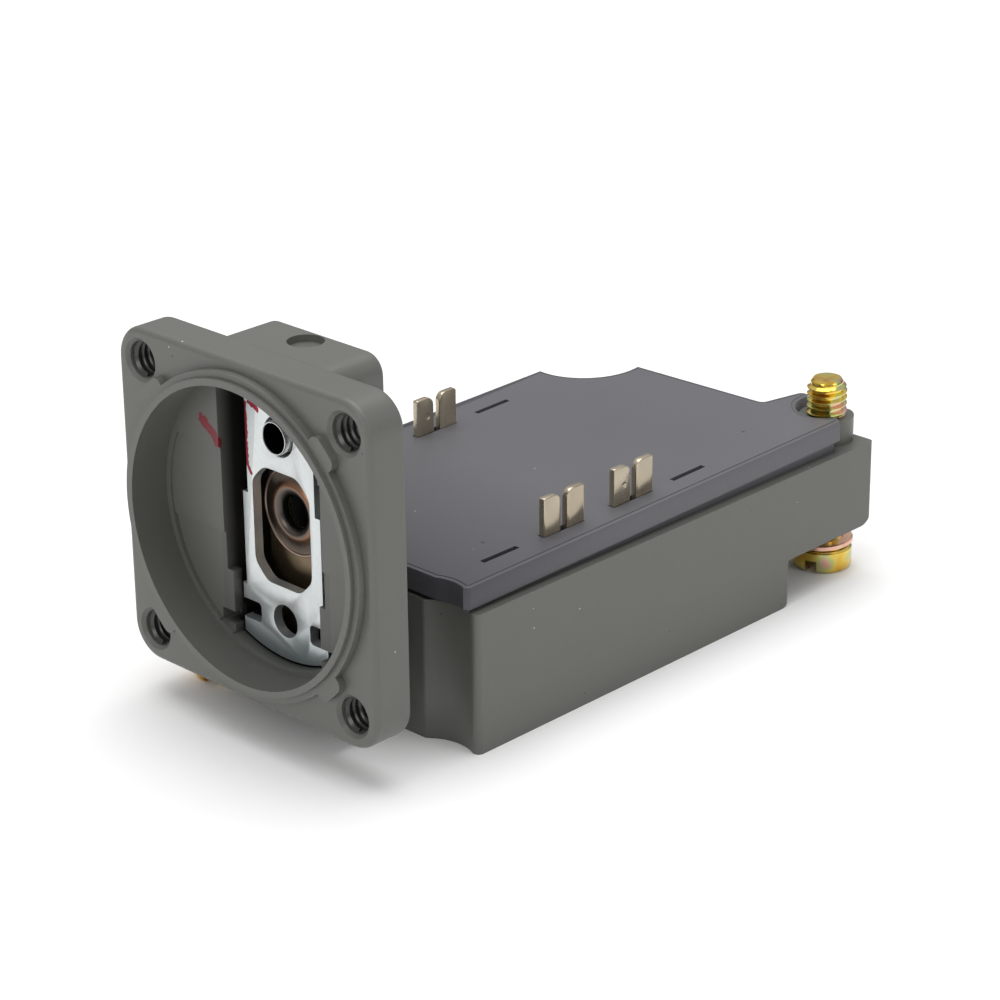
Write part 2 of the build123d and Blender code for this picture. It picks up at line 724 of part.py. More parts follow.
return_spring = coil(
    carrier_far, block_cavity_far, carrier_mid_z, return_spring_radius, return_spring_wire, 5
)
return_spring.label = "return_spring"
export_step(return_spring, "parts/return_spring.step")


# ---- Captive mounting screws and their lock washers ----
def mounting_screw(x, y):
    with BuildPart() as screw:
        with BuildSketch(Plane.XY.offset(screw_head_bottom)):
            with Locations((x, y)):
                Circle(screw_head_radius)
        extrude(amount=screw_head_height)
        chamfer(screw.faces().sort_by(Axis.Z)[0].edges(), screw_tip_chamfer)
        with BuildSketch(Plane.XY.offset(screw_head_bottom)):
            with Locations((x, y)):
                Rectangle(2 * screw_head_radius, screw_slot_width, rotation=screw_slot_turn)
        extrude(amount=screw_slot_depth, mode=Mode.SUBTRACT)
        with BuildSketch(Plane.XY.offset(screw_head_top)):
            with Locations((x, y)):
                Circle(screw_neck_radius)
        extrude(amount=thread_bottom_z - screw_head_top)
        with BuildSketch(Plane.XY.offset(thread_bottom_z)):
            with Locations((x, y)):
                Circle(screw_radius)
        extrude(amount=screw_thread_length)
        chamfer(screw.faces().sort_by(Axis.Z)[-1].edges(), screw_tip_chamfer)
    return screw


def lock_washer(x, y):
    with BuildPart() as washer:
        with BuildSketch(Plane.XY.offset(screw_head_top)):
            with Locations((x, y)):
                Circle(lock_washer_radius)
                Circle(screw_radius + running_clearance, mode=Mode.SUBTRACT)
            with Locations((x + screw_radius, y)):
                Rectangle(lock_washer_radius, lock_washer_thickness / 2, mode=Mode.SUBTRACT)
        extrude(amount=lock_washer_thickness)
    return washer


for end, (x, y) in screw_places.items():
    save(mounting_screw(x, y), f"mounting_screw_{end}")
    save(lock_washer(x, y), f"lock_washer_{end}")
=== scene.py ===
# %% [markdown]
# # The switch half of a plug-in limit switch
# A die-cast block with a square flange at one end, a rubber gasket over its back and four forked
# blades that plug into a receptacle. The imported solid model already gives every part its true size
# and place, so this lesson only gives those parts their finish, and rebuilds the few whose look is
# in small shapes: screw threads, forked blades, the stamped plate, the gasket's lip.

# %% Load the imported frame
import json
import math

import bmesh
import bpy
from mathutils import Matrix, Vector


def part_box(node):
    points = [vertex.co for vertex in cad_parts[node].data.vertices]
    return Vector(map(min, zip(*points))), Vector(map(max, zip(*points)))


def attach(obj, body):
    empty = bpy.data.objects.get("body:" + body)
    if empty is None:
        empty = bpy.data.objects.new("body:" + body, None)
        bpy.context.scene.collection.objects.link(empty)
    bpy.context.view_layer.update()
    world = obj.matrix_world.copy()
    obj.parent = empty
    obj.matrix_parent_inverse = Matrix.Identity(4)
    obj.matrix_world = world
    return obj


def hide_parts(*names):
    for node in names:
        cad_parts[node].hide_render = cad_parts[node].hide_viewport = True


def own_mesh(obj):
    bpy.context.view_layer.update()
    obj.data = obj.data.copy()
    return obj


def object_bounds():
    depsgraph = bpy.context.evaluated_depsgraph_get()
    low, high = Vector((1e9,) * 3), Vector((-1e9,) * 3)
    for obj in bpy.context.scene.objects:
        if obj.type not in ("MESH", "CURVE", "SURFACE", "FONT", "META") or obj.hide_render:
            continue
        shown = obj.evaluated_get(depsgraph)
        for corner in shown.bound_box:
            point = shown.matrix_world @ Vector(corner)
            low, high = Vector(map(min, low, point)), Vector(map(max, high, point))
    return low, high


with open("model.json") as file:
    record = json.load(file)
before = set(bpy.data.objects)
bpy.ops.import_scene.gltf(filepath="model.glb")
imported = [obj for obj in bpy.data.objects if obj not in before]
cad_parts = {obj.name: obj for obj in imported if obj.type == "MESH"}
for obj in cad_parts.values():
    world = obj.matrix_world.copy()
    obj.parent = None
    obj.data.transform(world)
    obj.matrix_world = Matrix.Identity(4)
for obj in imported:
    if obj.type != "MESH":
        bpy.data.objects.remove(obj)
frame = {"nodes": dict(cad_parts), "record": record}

MM = 0.001
nodes = frame["nodes"]
box_at_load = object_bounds()
print("solid parts", len(nodes), "box in mm", [[round(v / MM, 1) for v in corner] for corner in box_at_load])


def extent(name):
    """Lowest and highest corner of a solid part, in millimetres."""
    low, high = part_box(name)
    return low / MM, high / MM


# %% [markdown]
# ## Camera
# The switch is seen from the flange end, a little from above, with a long lens that keeps the body's
# edges almost parallel. A camera can be aimed with a Track To constraint, but building its three
# axes from yaw, pitch and roll says exactly where it looks, and keeps the slight tilt.

# %% Camera
camera_place = Vector((-0.19764, -0.23060, 0.13121))
yaw, pitch, roll = (math.radians(angle) for angle in (45.70, 22.83, 0.62))
forward = Vector((math.sin(yaw) * math.cos(pitch), math.cos(yaw) * math.cos(pitch), -math.sin(pitch)))
level = Vector((math.cos(yaw), -math.sin(yaw), 0))
down = forward.cross(level)
right = level * math.cos(roll) + down * math.sin(roll)
up = level * math.sin(roll) - down * math.cos(roll)
camera = bpy.data.objects.new("camera", bpy.data.cameras.new("camera"))
camera.data.lens = 112.2
camera.data.clip_start = 0.01
camera.matrix_world = Matrix.Translation(camera_place) @ Matrix((right, up, -forward)).transposed().to_4x4()
bpy.context.scene.collection.objects.link(camera)
bpy.context.scene.camera = camera
print("camera looks along", [round(v, 3) for v in forward])

# %% [markdown]
# ## Studio
# Painted castings show their shape best in broad, even light. A pale floor and a bright sky fill
# the shadows, one large softbox overhead makes the upward faces lighter than the sides, and a dark
# band low in the sky gives the screws and blades something to reflect.

# %% Light and floor
scene = bpy.context.scene
scene.view_settings.view_transform = "Standard"
world = bpy.data.worlds.new("studio")
world.use_nodes = True
scene.world = world
sky = world.node_tree
background = sky.nodes["Background"]
direction = sky.nodes.new("ShaderNodeTexCoord")
height = sky.nodes.new("ShaderNodeSeparateXYZ")
sky_ramp = sky.nodes.new("ShaderNodeValToRGB")
sky.links.new(direction.outputs["Generated"], height.inputs[0])
sky.links.new(height.outputs["Z"], sky_ramp.inputs["Fac"])
sky.links.new(sky_ramp.outputs["Color"], background.inputs["Color"])
sky_ramp.color_ramp.elements[0].position = 0.02
sky_ramp.color_ramp.elements[0].color = (0.28, 0.28, 0.29, 1)
sky_ramp.color_ramp.elements[1].position = 0.45
sky_ramp.color_ramp.elements[1].color = (1, 1, 1, 1)
background.inputs["Strength"].default_value = 0.62


def softbox(name, place, target, size, power):
    """A square area light of that size in metres, aimed at a point."""
    light = bpy.data.lights.new(name, "AREA")
    light.size = size
    light.energy = power
    lamp = bpy.data.objects.new(name, light)
    lamp.location = place
    lamp.rotation_euler = (Vector(target) - Vector(place)).to_track_quat("-Z", "Y").to_euler()
    scene.collection.objects.link(lamp)


middle = (box_at_load[0] + box_at_load[1]) / 2
softbox("overhead", (0.08, 0.06, 0.70), middle, 0.7, 4.4)
softbox("camera_left", (-0.60, -0.05, 0.26), middle, 0.3, 0.8)
softbox("camera_right", (0.12, -0.62, 0.26), middle, 0.3, 0.35)

floor_work = bmesh.new()
bmesh.ops.create_grid(floor_work, x_segments=1, y_segments=1, size=3.0)
bmesh.ops.translate(floor_work, vec=(0, 0, box_at_load[0].z), verts=floor_work.verts)
floor_mesh = bpy.data.meshes.new("floor")
floor_work.to_mesh(floor_mesh)
floor_work.free()
floor = bpy.data.objects.new("floor", floor_mesh)
scene.collection.objects.link(floor)
floor_paper = bpy.data.materials.new("floor_paper")
floor_paper.use_nodes = True
floor_paper.node_tree.nodes["Principled BSDF"].inputs["Base Color"].default_value = (0.93, 0.93, 0.93, 1)
floor_paper.node_tree.nodes["Principled BSDF"].inputs["Roughness"].default_value = 0.9
floor_mesh.materials.append(floor_paper)
print("floor at", round(box_at_load[0].z / MM, 2), "mm")

# %% [markdown]
# ## Shared effects
# Several finishes use the same small effects: a tone that wanders, stray dust, a brushed-on mark,
# and the distance from an axis, for tints, painted highlights and painted shade that run in rings.
# Each is a node group made once, with its sizes as inputs, so every material places it with its own
# values. All of them read Object coordinates, which are metres fixed to the part, so a pattern stays
# put when a part moves.


# %% Node helpers
def add_node(tree, kind, **values):
    """Adds a shader node and sets its named inputs."""
    made = tree.nodes.new(kind)
    for label, value in values.items():
        made.inputs[label.replace("_", " ")].default_value = value
    return made


def calculate(tree, operation, first, second=None, clamp=False):
    """A Math node on sockets or numbers. Returns its output."""
    made = tree.nodes.new("ShaderNodeMath")
    made.operation = operation
    made.use_clamp = clamp
    for place, value in enumerate((first, second)):
        if isinstance(value, bpy.types.NodeSocket):
            tree.links.new(value, made.inputs[place])
        elif value is not None:
            made.inputs[place].default_value = value
    return made.outputs[0]


def mix_colours(tree, factor, first, second):
    """A colour mix whose two colours and factor are sockets or values. Returns its output."""
    made = tree.nodes.new("ShaderNodeMix")
    made.data_type = "RGBA"
    for place, value in ((0, factor), (6, first), (7, second)):
        if isinstance(value, bpy.types.NodeSocket):
            tree.links.new(value, made.inputs[place])
        else:
            made.inputs[place].default_value = value
    return made.outputs[2]


def new_group(name, inputs, outputs):
    """An empty node group with named float or vector inputs and outputs."""
    group = bpy.data.node_groups.new(name, "ShaderNodeTree")
    for label, kind, value in inputs:
        group.interface.new_socket(label, in_out="INPUT", socket_type=kind).default_value = value
    for label, kind in outputs:
        group.interface.new_socket(label, in_out="OUTPUT", socket_type=kind)
    return group, group.nodes.new("NodeGroupInput"), group.nodes.new("NodeGroupOutput")


def place_group(tree, group, **values):
    """Places a node group in a material and sets its inputs."""
    made = tree.nodes.new("ShaderNodeGroup")
    made.node_tree = group
    for label, value in values.items():
        made.inputs[label.replace("_", " ")].default_value = value
    return made


# %% Effect: wandering tone
tone_group, tone_in, tone_out = new_group(
    "wandering_tone",
    [("Patch Scale", "NodeSocketFloat", 60.0), ("Grain Scale", "NodeSocketFloat", 900.0),
     ("Grain Share", "NodeSocketFloat", 0.3)],
    [("Tone", "NodeSocketFloat")],
)
tone_place = tone_group.nodes.new("ShaderNodeTexCoord")
tone_patch = add_node(tone_group, "ShaderNodeTexNoise", Detail=3.0)
tone_grain = add_node(tone_group, "ShaderNodeTexNoise", Detail=2.0)
for noise, label in ((tone_patch, "Patch Scale"), (tone_grain, "Grain Scale")):
    tone_group.links.new(tone_place.outputs["Object"], noise.inputs["Vector"])
    tone_group.links.new(tone_in.outputs[label], noise.inputs["Scale"])
tone_blend = tone_group.nodes.new("ShaderNodeMix")
tone_group.links.new(tone_in.outputs["Grain Share"], tone_blend.inputs[0])
tone_group.links.new(tone_patch.outputs["Fac"], tone_blend.inputs[2])
tone_group.links.new(tone_grain.outputs["Fac"], tone_blend.inputs[3])
tone_group.links.new(tone_blend.outputs[0], tone_out.inputs["Tone"])
print("effect", tone_group.name)

# %% Effect: stray dust
dust_group, dust_in, dust_out = new_group(
    "stray_dust",
    [("Scale", "NodeSocketFloat", 300.0), ("Speck Size", "NodeSocketFloat", 0.12),
     ("Share", "NodeSocketFloat", 0.05)],
    [("Mask", "NodeSocketFloat")],
)
dust_place = dust_group.nodes.new("ShaderNodeTexCoord")
dust_cells = dust_group.nodes.new("ShaderNodeTexVoronoi")
dust_group.links.new(dust_place.outputs["Object"], dust_cells.inputs["Vector"])
dust_group.links.new(dust_in.outputs["Scale"], dust_cells.inputs["Scale"])
dust_pick = dust_group.nodes.new("ShaderNodeSeparateColor")
dust_group.links.new(dust_cells.outputs["Color"], dust_pick.inputs[0])
near_centre = calculate(
    dust_group, "LESS_THAN", dust_cells.outputs["Distance"], dust_in.outputs["Speck Size"])
chosen = calculate(dust_group, "LESS_THAN", dust_pick.outputs[0], dust_in.outputs["Share"])
dust_group.links.new(calculate(dust_group, "MULTIPLY", near_centre, chosen), dust_out.inputs["Mask"])
print("effect", dust_group.name)

# %% Effect: brushed mark between two points
mark_group, mark_in, mark_out = new_group(
    "brushed_mark",
    [("Start", "NodeSocketVector", (0, 0, 0)), ("End", "NodeSocketVector", (0, 0, 0)),
     ("Half Width", "NodeSocketFloat", 0.0005)],
    [("Mask", "NodeSocketFloat")],
)


def vector_step(tree, operation, first, second, output=0):
    """A Vector Math node between two sockets. Returns the chosen output."""
    made = tree.nodes.new("ShaderNodeVectorMath")
    made.operation = operation
    tree.links.new(first, made.inputs[0])
    if second is not None:
        tree.links.new(second, made.inputs["Scale" if operation == "SCALE" else 1])
    return made.outputs[output]


mark_place = mark_group.nodes.new("ShaderNodeTexCoord").outputs["Object"]
run = vector_step(mark_group, "SUBTRACT", mark_in.outputs["End"], mark_in.outputs["Start"])
reach = vector_step(mark_group, "SUBTRACT", mark_place, mark_in.outputs["Start"])
along = calculate(
    mark_group, "DIVIDE",
    vector_step(mark_group, "DOT_PRODUCT", reach, run, 1),
    vector_step(mark_group, "DOT_PRODUCT", run, run, 1),
    clamp=True,
)
nearest = vector_step(mark_group, "SCALE", run, along)
away = vector_step(mark_group, "LENGTH", vector_step(mark_group, "SUBTRACT", reach, nearest), None, 1)
bristle = add_node(mark_group, "ShaderNodeTexNoise", Scale=1400.0, Detail=1.0)
mark_group.links.new(mark_place, bristle.inputs["Vector"])
ragged = calculate(mark_group, "MULTIPLY", bristle.outputs["Fac"], calculate(
    mark_group, "MULTIPLY", mark_in.outputs["Half Width"], 2.0))
mark_group.links.new(calculate(mark_group, "LESS_THAN", away, ragged), mark_out.inputs["Mask"])
print("effect", mark_group.name)

# %% Effect: distance from an axis along X
axis_group, axis_in, axis_out = new_group(
    "distance_from_axis", [("Axis Point", "NodeSocketVector", (0, 0, 0))], [("Distance", "NodeSocketFloat")])
axis_place = axis_group.nodes.new("ShaderNodeTexCoord").outputs["Object"]
axis_flat = axis_group.nodes.new("ShaderNodeVectorMath")
axis_flat.operation = "MULTIPLY"
axis_flat.inputs[1].default_value = (0, 1, 1)
axis_group.links.new(
    vector_step(axis_group, "SUBTRACT", axis_place, axis_in.outputs["Axis Point"]), axis_flat.inputs[0])
axis_group.links.new(
    vector_step(axis_group, "LENGTH", axis_flat.outputs[0], None, 1), axis_out.inputs["Distance"])
print("effect", axis_group.name)


# %% [markdown]
# ## Finishes
# Every finish starts the same way: a Principled shader, two colours that a wandering tone moves
# between, and a fine bump. Only the numbers tell paint, rubber, zinc and bronze apart, so one
# function makes them all, and returns its nodes for the finishes that need something more.


# %% One function for every finish
def finish(name, dark, light, roughness, metallic=0.0, patches=60.0, grain=900.0, grain_share=0.3,
           bump=0.05, bump_scale=1500.0, gloss_change=0.1):
    """A material that wanders between two colours, with a fine bump. Returns material, tree, shader."""
    material = bpy.data.materials.new(name)
    material.use_nodes = True
    tree = material.node_tree
    shader = tree.nodes["Principled BSDF"]
    shader.inputs["Metallic"].default_value = metallic
    tone = place_group(tree, tone_group, Patch_Scale=patches, Grain_Scale=grain, Grain_Share=grain_share)
    colour = mix_colours(tree, tone.outputs["Tone"], (*dark, 1), (*light, 1))
    tree.links.new(colour, shader.inputs["Base Color"])
    low, high = roughness - gloss_change, roughness + gloss_change
    gloss = calculate(tree, "MULTIPLY_ADD", tone.outputs["Tone"], high - low)
    gloss.node.inputs[2].default_value = low
    tree.links.new(gloss, shader.inputs["Roughness"])
    place = tree.nodes.new("ShaderNodeTexCoord")
    skin = add_node(tree, "ShaderNodeTexNoise", Scale=bump_scale, Detail=3.0)
    tree.links.new(place.outputs["Object"], skin.inputs["Vector"])
    relief = add_node(tree, "ShaderNodeBump", Strength=bump, Distance=0.0002)
    tree.links.new(skin.outputs["Fac"], relief.inputs["Height"])
    tree.links.new(relief.outputs["Normal"], shader.inputs["Normal"])
    return material, tree, shader


def paint_over(tree, shader, mask, colour):
    """Lays a colour over what already feeds the shader, where the mask is 1."""
    under = shader.inputs["Base Color"].links[0].from_socket
    tree.links.new(mix_colours(tree, mask, under, (*colour, 1)), shader.inputs["Base Color"])


def part_axes(tree):
    """The X, Y and Z of Object coordinates, as a node's outputs."""
    axes = tree.nodes.new("ShaderNodeSeparateXYZ")
    tree.links.new(tree.nodes.new("ShaderNodeTexCoord").outputs["Object"], axes.inputs[0])
    return axes.outputs


def fade(tree, value, start, stop, most=1.0):
    """0 at the start and the most at the stop of a stretch in millimetres, clamped."""
    made = tree.nodes.new("ShaderNodeMapRange")
    tree.links.new(value, made.inputs["Value"])
    made.inputs["From Min"].default_value = start * MM
    made.inputs["From Max"].default_value = stop * MM
    made.inputs["To Max"].default_value = most
    return made.outputs[0]


# %% [markdown]
# ### Paint on the casting
# The zinc casting is sprayed warm grey. The coat follows the cast skin, collects dust and carries
# two strokes of red inspection lacquer on the bore's floor.

# %% Casting paint
casting_paint, paint_tree, paint_shader = finish(
    "casting_paint", (0.096, 0.097, 0.086), (0.130, 0.131, 0.118), 0.42, patches=45.0, grain=2600.0,
    grain_share=0.35, bump=0.12, bump_scale=3200.0,
)
paint_dust = place_group(paint_tree, dust_group, Scale=400.0, Speck_Size=0.040, Share=0.22)
paint_over(paint_tree, paint_shader, paint_dust.outputs["Mask"], (0.45, 0.44, 0.42))
paint_pits = place_group(paint_tree, dust_group, Scale=420.0, Speck_Size=0.05, Share=0.06)
paint_over(paint_tree, paint_shader, paint_pits.outputs["Mask"], (0.045, 0.045, 0.04))
lacquer_red = (0.17, 0.012, 0.022)
stroke_half_width = 0.55
bore_floor = 3.4
floor_strokes = [
    ((bore_floor, 10.4, 9.7), (bore_floor, 8.9, 8.7)),
    ((bore_floor, 8.9, 8.7), (bore_floor, 7.8, 7.2)),
]
for start, end in floor_strokes:
    stroke = place_group(
        paint_tree, mark_group, Start=Vector(start) * MM, End=Vector(end) * MM,
        Half_Width=stroke_half_width * MM)
    paint_over(paint_tree, paint_shader, stroke.outputs["Mask"], lacquer_red)
print("finish", casting_paint.name, "with", len(floor_strokes), "lacquer strokes")

# %% [markdown]
# The channel and the chamber behind the bore's floor lie deep in shade, so a painted shade darkens
# them nearly to black. That is a mask over depth, width and height, soft at its edges.

# %% Painted shade in the chamber
paint_axes = part_axes(paint_tree)
from_middle = calculate(paint_tree, "ABSOLUTE", paint_axes["Y"])
painted_shade_depth = (3.7, 11.6)
painted_shade_limits = [
    (paint_axes["X"], painted_shade_depth[0], 5.6), (paint_axes["X"], painted_shade_depth[1], 11.5),
    (from_middle, 8.6, 8.5), (paint_axes["Z"], 17.6, 17.5), (paint_axes["Z"], -22.0, -21.9),
]
painted_chamber_shade, *other_fades = [fade(paint_tree, *limit) for limit in painted_shade_limits]
for other in other_fades:
    painted_chamber_shade = calculate(paint_tree, "MULTIPLY", painted_chamber_shade, other)
# Painted shade: the channel and the chamber drawn nearly black, where shade falls deep inside
paint_over(paint_tree, paint_shader, painted_chamber_shade, (0.010, 0.010, 0.009))
print("bare between", *painted_shade_depth, "mm behind the flange face")

# %% [markdown]
# ### Rubber
# Oil-resistant rubber is a bluish grey with a dull, dusty skin. The dust shows best here, in pale
# specks and a few dark pits. A painted shade darkens the end by the flange, where the flange shades
# the rubber, so the colour deepens along the part's length.

# %% Gasket and seal rubber
gasket_rubber, rubber_tree, rubber_shader = finish(
    "gasket_rubber", (0.085, 0.085, 0.094), (0.125, 0.125, 0.137), 0.46, patches=38.0, grain=1800.0,
    grain_share=0.25, bump=0.10, bump_scale=2400.0,
)
rubber_dust = place_group(rubber_tree, dust_group, Scale=330.0, Speck_Size=0.050, Share=0.16)
paint_over(rubber_tree, rubber_shader, rubber_dust.outputs["Mask"], (0.50, 0.50, 0.52))
rubber_pits = place_group(rubber_tree, dust_group, Scale=300.0, Speck_Size=0.08, Share=0.10)
paint_over(rubber_tree, rubber_shader, rubber_pits.outputs["Mask"], (0.03, 0.03, 0.035))
# Painted shade: the rubber darker towards the flange, which shades this end
painted_flange_shade = fade(rubber_tree, part_axes(rubber_tree)["X"], 40, 14, most=0.7)
paint_over(rubber_tree, rubber_shader, painted_flange_shade, (0.034, 0.034, 0.042))
seal_rubber, _, _ = finish("seal_rubber", (0.02, 0.02, 0.022), (0.04, 0.04, 0.042), 0.6)
print("finishes", gasket_rubber.name, seal_rubber.name)

# %% [markdown]
# ### Metals
# Zinc plate is a cool, slightly cloudy grey. The plunger's pressings are bronze that heat has
# tinted from olive to copper. Blades are tin over brass, warm and soft. Springs and contact tips
# are hidden inside, but keep their own metals.

# %% Plain metals
zinc_plate, zinc_tree, zinc_shader = finish(
    "zinc_plate", (0.50, 0.53, 0.54), (0.84, 0.87, 0.86), 0.34, metallic=0.75, patches=140.0, grain=2400.0,
    grain_share=0.3, bump=0.06, bump_scale=2600.0, gloss_change=0.14,
)
plate_front = extent("retaining_plate")[0].x
plate_red = (0.28, 0.02, 0.04)
plate_strokes = [
    ((plate_front, 5.2, 12.4), (plate_front, 5.15, 5.4), 0.00026),
    ((plate_front, 5.15, 5.4), (plate_front, 4.6, 4.4), 0.00020),
    ((plate_front, 4.4, 12.6), (plate_front, 3.3, 12.1), 0.00036),
]
for start, end, half_width in plate_strokes:
    stroke = place_group(
        zinc_tree, mark_group, Start=Vector(start) * MM, End=Vector(end) * MM, Half_Width=half_width)
    paint_over(zinc_tree, zinc_shader, stroke.outputs["Mask"], plate_red)
# Painted shade: the plate's foot bends away from the light, so its lower end turns a darker blue-grey
painted_foot_shade = fade(zinc_tree, part_axes(zinc_tree)["Z"], -9, -16, most=0.75)
paint_over(zinc_tree, zinc_shader, painted_foot_shade, (0.30, 0.36, 0.38))
bronze, _, _ = finish(
    "heat_tinted_bronze", (0.085, 0.068, 0.040), (0.30, 0.215, 0.135), 0.26, metallic=0.9, patches=190.0,
    grain=900.0, grain_share=0.15, bump=0.03, gloss_change=0.08,
)
copper, _, _ = finish(
    "copper", (0.34, 0.17, 0.10), (0.62, 0.36, 0.24), 0.30, metallic=0.9, patches=240.0, grain_share=0.15,
)
blade_tin, _, _ = finish(
    "blade_tin", (0.33, 0.275, 0.19), (0.58, 0.515, 0.41), 0.25, metallic=0.85, patches=170.0, grain=2400.0,
    grain_share=0.06, bump=0.015, bump_scale=900.0,
)
tapped_metal, _, _ = finish(
    "tapped_metal", (0.030, 0.030, 0.027), (0.095, 0.094, 0.088), 0.28, metallic=0.6, patches=300.0,
    grain_share=0.1,
)
contact_silver, _, _ = finish("contact_silver", (0.6, 0.59, 0.57), (0.85, 0.84, 0.82), 0.3, metallic=1.0)
spring_steel, _, _ = finish("spring_steel", (0.3, 0.3, 0.3), (0.5, 0.5, 0.5), 0.3, metallic=1.0)
moulding, _, _ = finish("phenolic_moulding", (0.02, 0.02, 0.02), (0.045, 0.045, 0.045), 0.5)
print("metals ready, plate front at", round(plate_front, 2), "mm")

# %% [markdown]
# ### Yellow chromate
# Chromated screws shine gold, with drifting green and pink like oil on water. A colour ramp over
# soft noise gives that drift. The washers carry more pink, so the ramp is a parameter.


# %% Chromate film
def chromate(name, stops, scale, roughness):
    """A metal whose colour drifts through the stops of a ramp."""
    material, tree, shader = finish(
        name, (0.5, 0.35, 0.1), (0.9, 0.7, 0.3), roughness, metallic=1.0, bump=0.04, gloss_change=0.05)
    place = tree.nodes.new("ShaderNodeTexCoord")
    drift = add_node(tree, "ShaderNodeTexNoise", Scale=scale, Detail=1.5, Distortion=0.6)
    ramp = tree.nodes.new("ShaderNodeValToRGB")
    tree.links.new(place.outputs["Object"], drift.inputs["Vector"])
    tree.links.new(drift.outputs["Fac"], ramp.inputs["Fac"])
    tree.links.new(ramp.outputs["Color"], shader.inputs["Base Color"])
    ramp.color_ramp.elements[0].position, ramp.color_ramp.elements[0].color = stops[0][0], (*stops[0][1], 1)
    ramp.color_ramp.elements[1].position, ramp.color_ramp.elements[1].color = stops[-1][0], (*stops[-1][1], 1)
    for position, colour in stops[1:-1]:
        ramp.color_ramp.elements.new(position).color = (*colour, 1)
    return material


screw_chromate = chromate(
    "screw_chromate",
    [(0.30, (0.60, 0.32, 0.06)), (0.42, (0.80, 0.52, 0.08)), (0.52, (0.82, 0.62, 0.14)),
     (0.60, (0.55, 0.60, 0.25)), (0.70, (0.72, 0.42, 0.34))],
    260.0, 0.20,
)
washer_chromate = chromate(
    "washer_chromate",
    [(0.30, (0.62, 0.36, 0.16)), (0.50, (0.78, 0.45, 0.36)), (0.68, (0.70, 0.60, 0.30))], 300.0, 0.22,
)
print("chromate finishes", screw_chromate.name, washer_chromate.name)

# %% [markdown]
# ## Finishes on the solid parts
# Parts whose shape is already right only need their material, given to the object's own slot.

# %% Give the solid parts their finishes
finish_of_slot = {
    "cast_paint": casting_paint, "gasket_rubber": gasket_rubber, "seal_rubber": seal_rubber,
    "zinc_plate": zinc_plate, "bronze": bronze, "copper": copper, "moulding": moulding,
    "tinned_blade": blade_tin, "contact_silver": contact_silver, "spring_steel": spring_steel,
    "chromate": screw_chromate,
}
for part in frame["record"]["subparts"]:
    for material_slot in nodes[part["node"]].material_slots:
        material_slot.link = "OBJECT"
        material_slot.material = finish_of_slot[part["material_slot"]]

# %% [markdown]
# ## Rebuilt pieces
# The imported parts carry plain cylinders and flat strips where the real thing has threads, twisted
# washers and coined edges. These are rebuilt below in millimetres around the same centres, scaled
# to metres once, and tied to the body they move with.


# %% Tools: finished pieces
def new_piece(name, work, body, material, stands_for=(), sharp=35, flat_area=None):
    """Scales a millimetre mesh to metres, shades it, ties it to a body and hides the solid parts it replaces.
    """
    for face in work.faces:
        face.smooth = flat_area is None or face.calc_area() < flat_area
    bmesh.ops.scale(work, vec=(MM, MM, MM), verts=work.verts)
    mesh = bpy.data.meshes.new(name)
    work.to_mesh(mesh)
    work.free()
    mesh.set_sharp_from_angle(angle=math.radians(sharp))
    mesh.materials.append(material)
    piece = bpy.data.objects.new(name, mesh)
    scene.collection.objects.link(piece)
    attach(piece, body)
    if stands_for:
        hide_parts(*stands_for)
    print(name, len(mesh.polygons), "faces, rides on", body)
    return piece


def body_of(name):
    """The moving body that a solid part belongs to."""
    return next(body for body, parts in frame["record"]["behaviour"]["bodies"].items() if name in parts)


# %% [markdown]
# Most of these parts are turned or coiled. A profile spun once round Z makes a turned part, and a
# section spun with a rise makes a thread, a washer or a spring.


# %% Tools: turned and swept shapes
def lathe(profile, steps=64):
    """Turns (radius, height) points once around Z and closes the seam."""
    work = bmesh.new()
    points = [work.verts.new((radius, 0, height)) for radius, height in profile]
    edges = [work.edges.new(pair) for pair in zip(points, points[1:])]
    bmesh.ops.spin(
        work, geom=points + edges, cent=(0, 0, 0), axis=(0, 0, 1), angle=math.tau, steps=steps,
        use_merge=True)
    bmesh.ops.remove_doubles(work, verts=work.verts, dist=0.0005)
    bmesh.ops.recalc_face_normals(work, faces=work.faces)
    return work


def sweep(section, turns, rise, steps=48, closed=True):
    """Sweeps a (radius, height) section around Z, rising by a set amount in each turn."""
    work = bmesh.new()
    points = [work.verts.new((radius, 0, height)) for radius, height in section]
    pairs = list(zip(points, points[1:])) + ([(points[-1], points[0])] if closed else [])
    edges = [work.edges.new(pair) for pair in pairs]
    count = round(turns * steps)
    bmesh.ops.spin(
        work, geom=points + edges, cent=(0, 0, 0), axis=(0, 0, 1), dvec=(0, 0, rise / steps),
        angle=math.tau * turns, steps=count)
    bmesh.ops.remove_doubles(work, verts=work.verts, dist=0.0005)
    if closed:
        bmesh.ops.holes_fill(work, edges=[e for e in work.edges if e.is_boundary], sides=0)
    bmesh.ops.recalc_face_normals(work, faces=work.faces)
    return work


# %% [markdown]
# A slot or a dimple cuts across curved faces, where the exact Boolean gives a cleaner seam than
# slicing would. It can leave slivers, loose edges and pinholes, so its result is merged and closed.


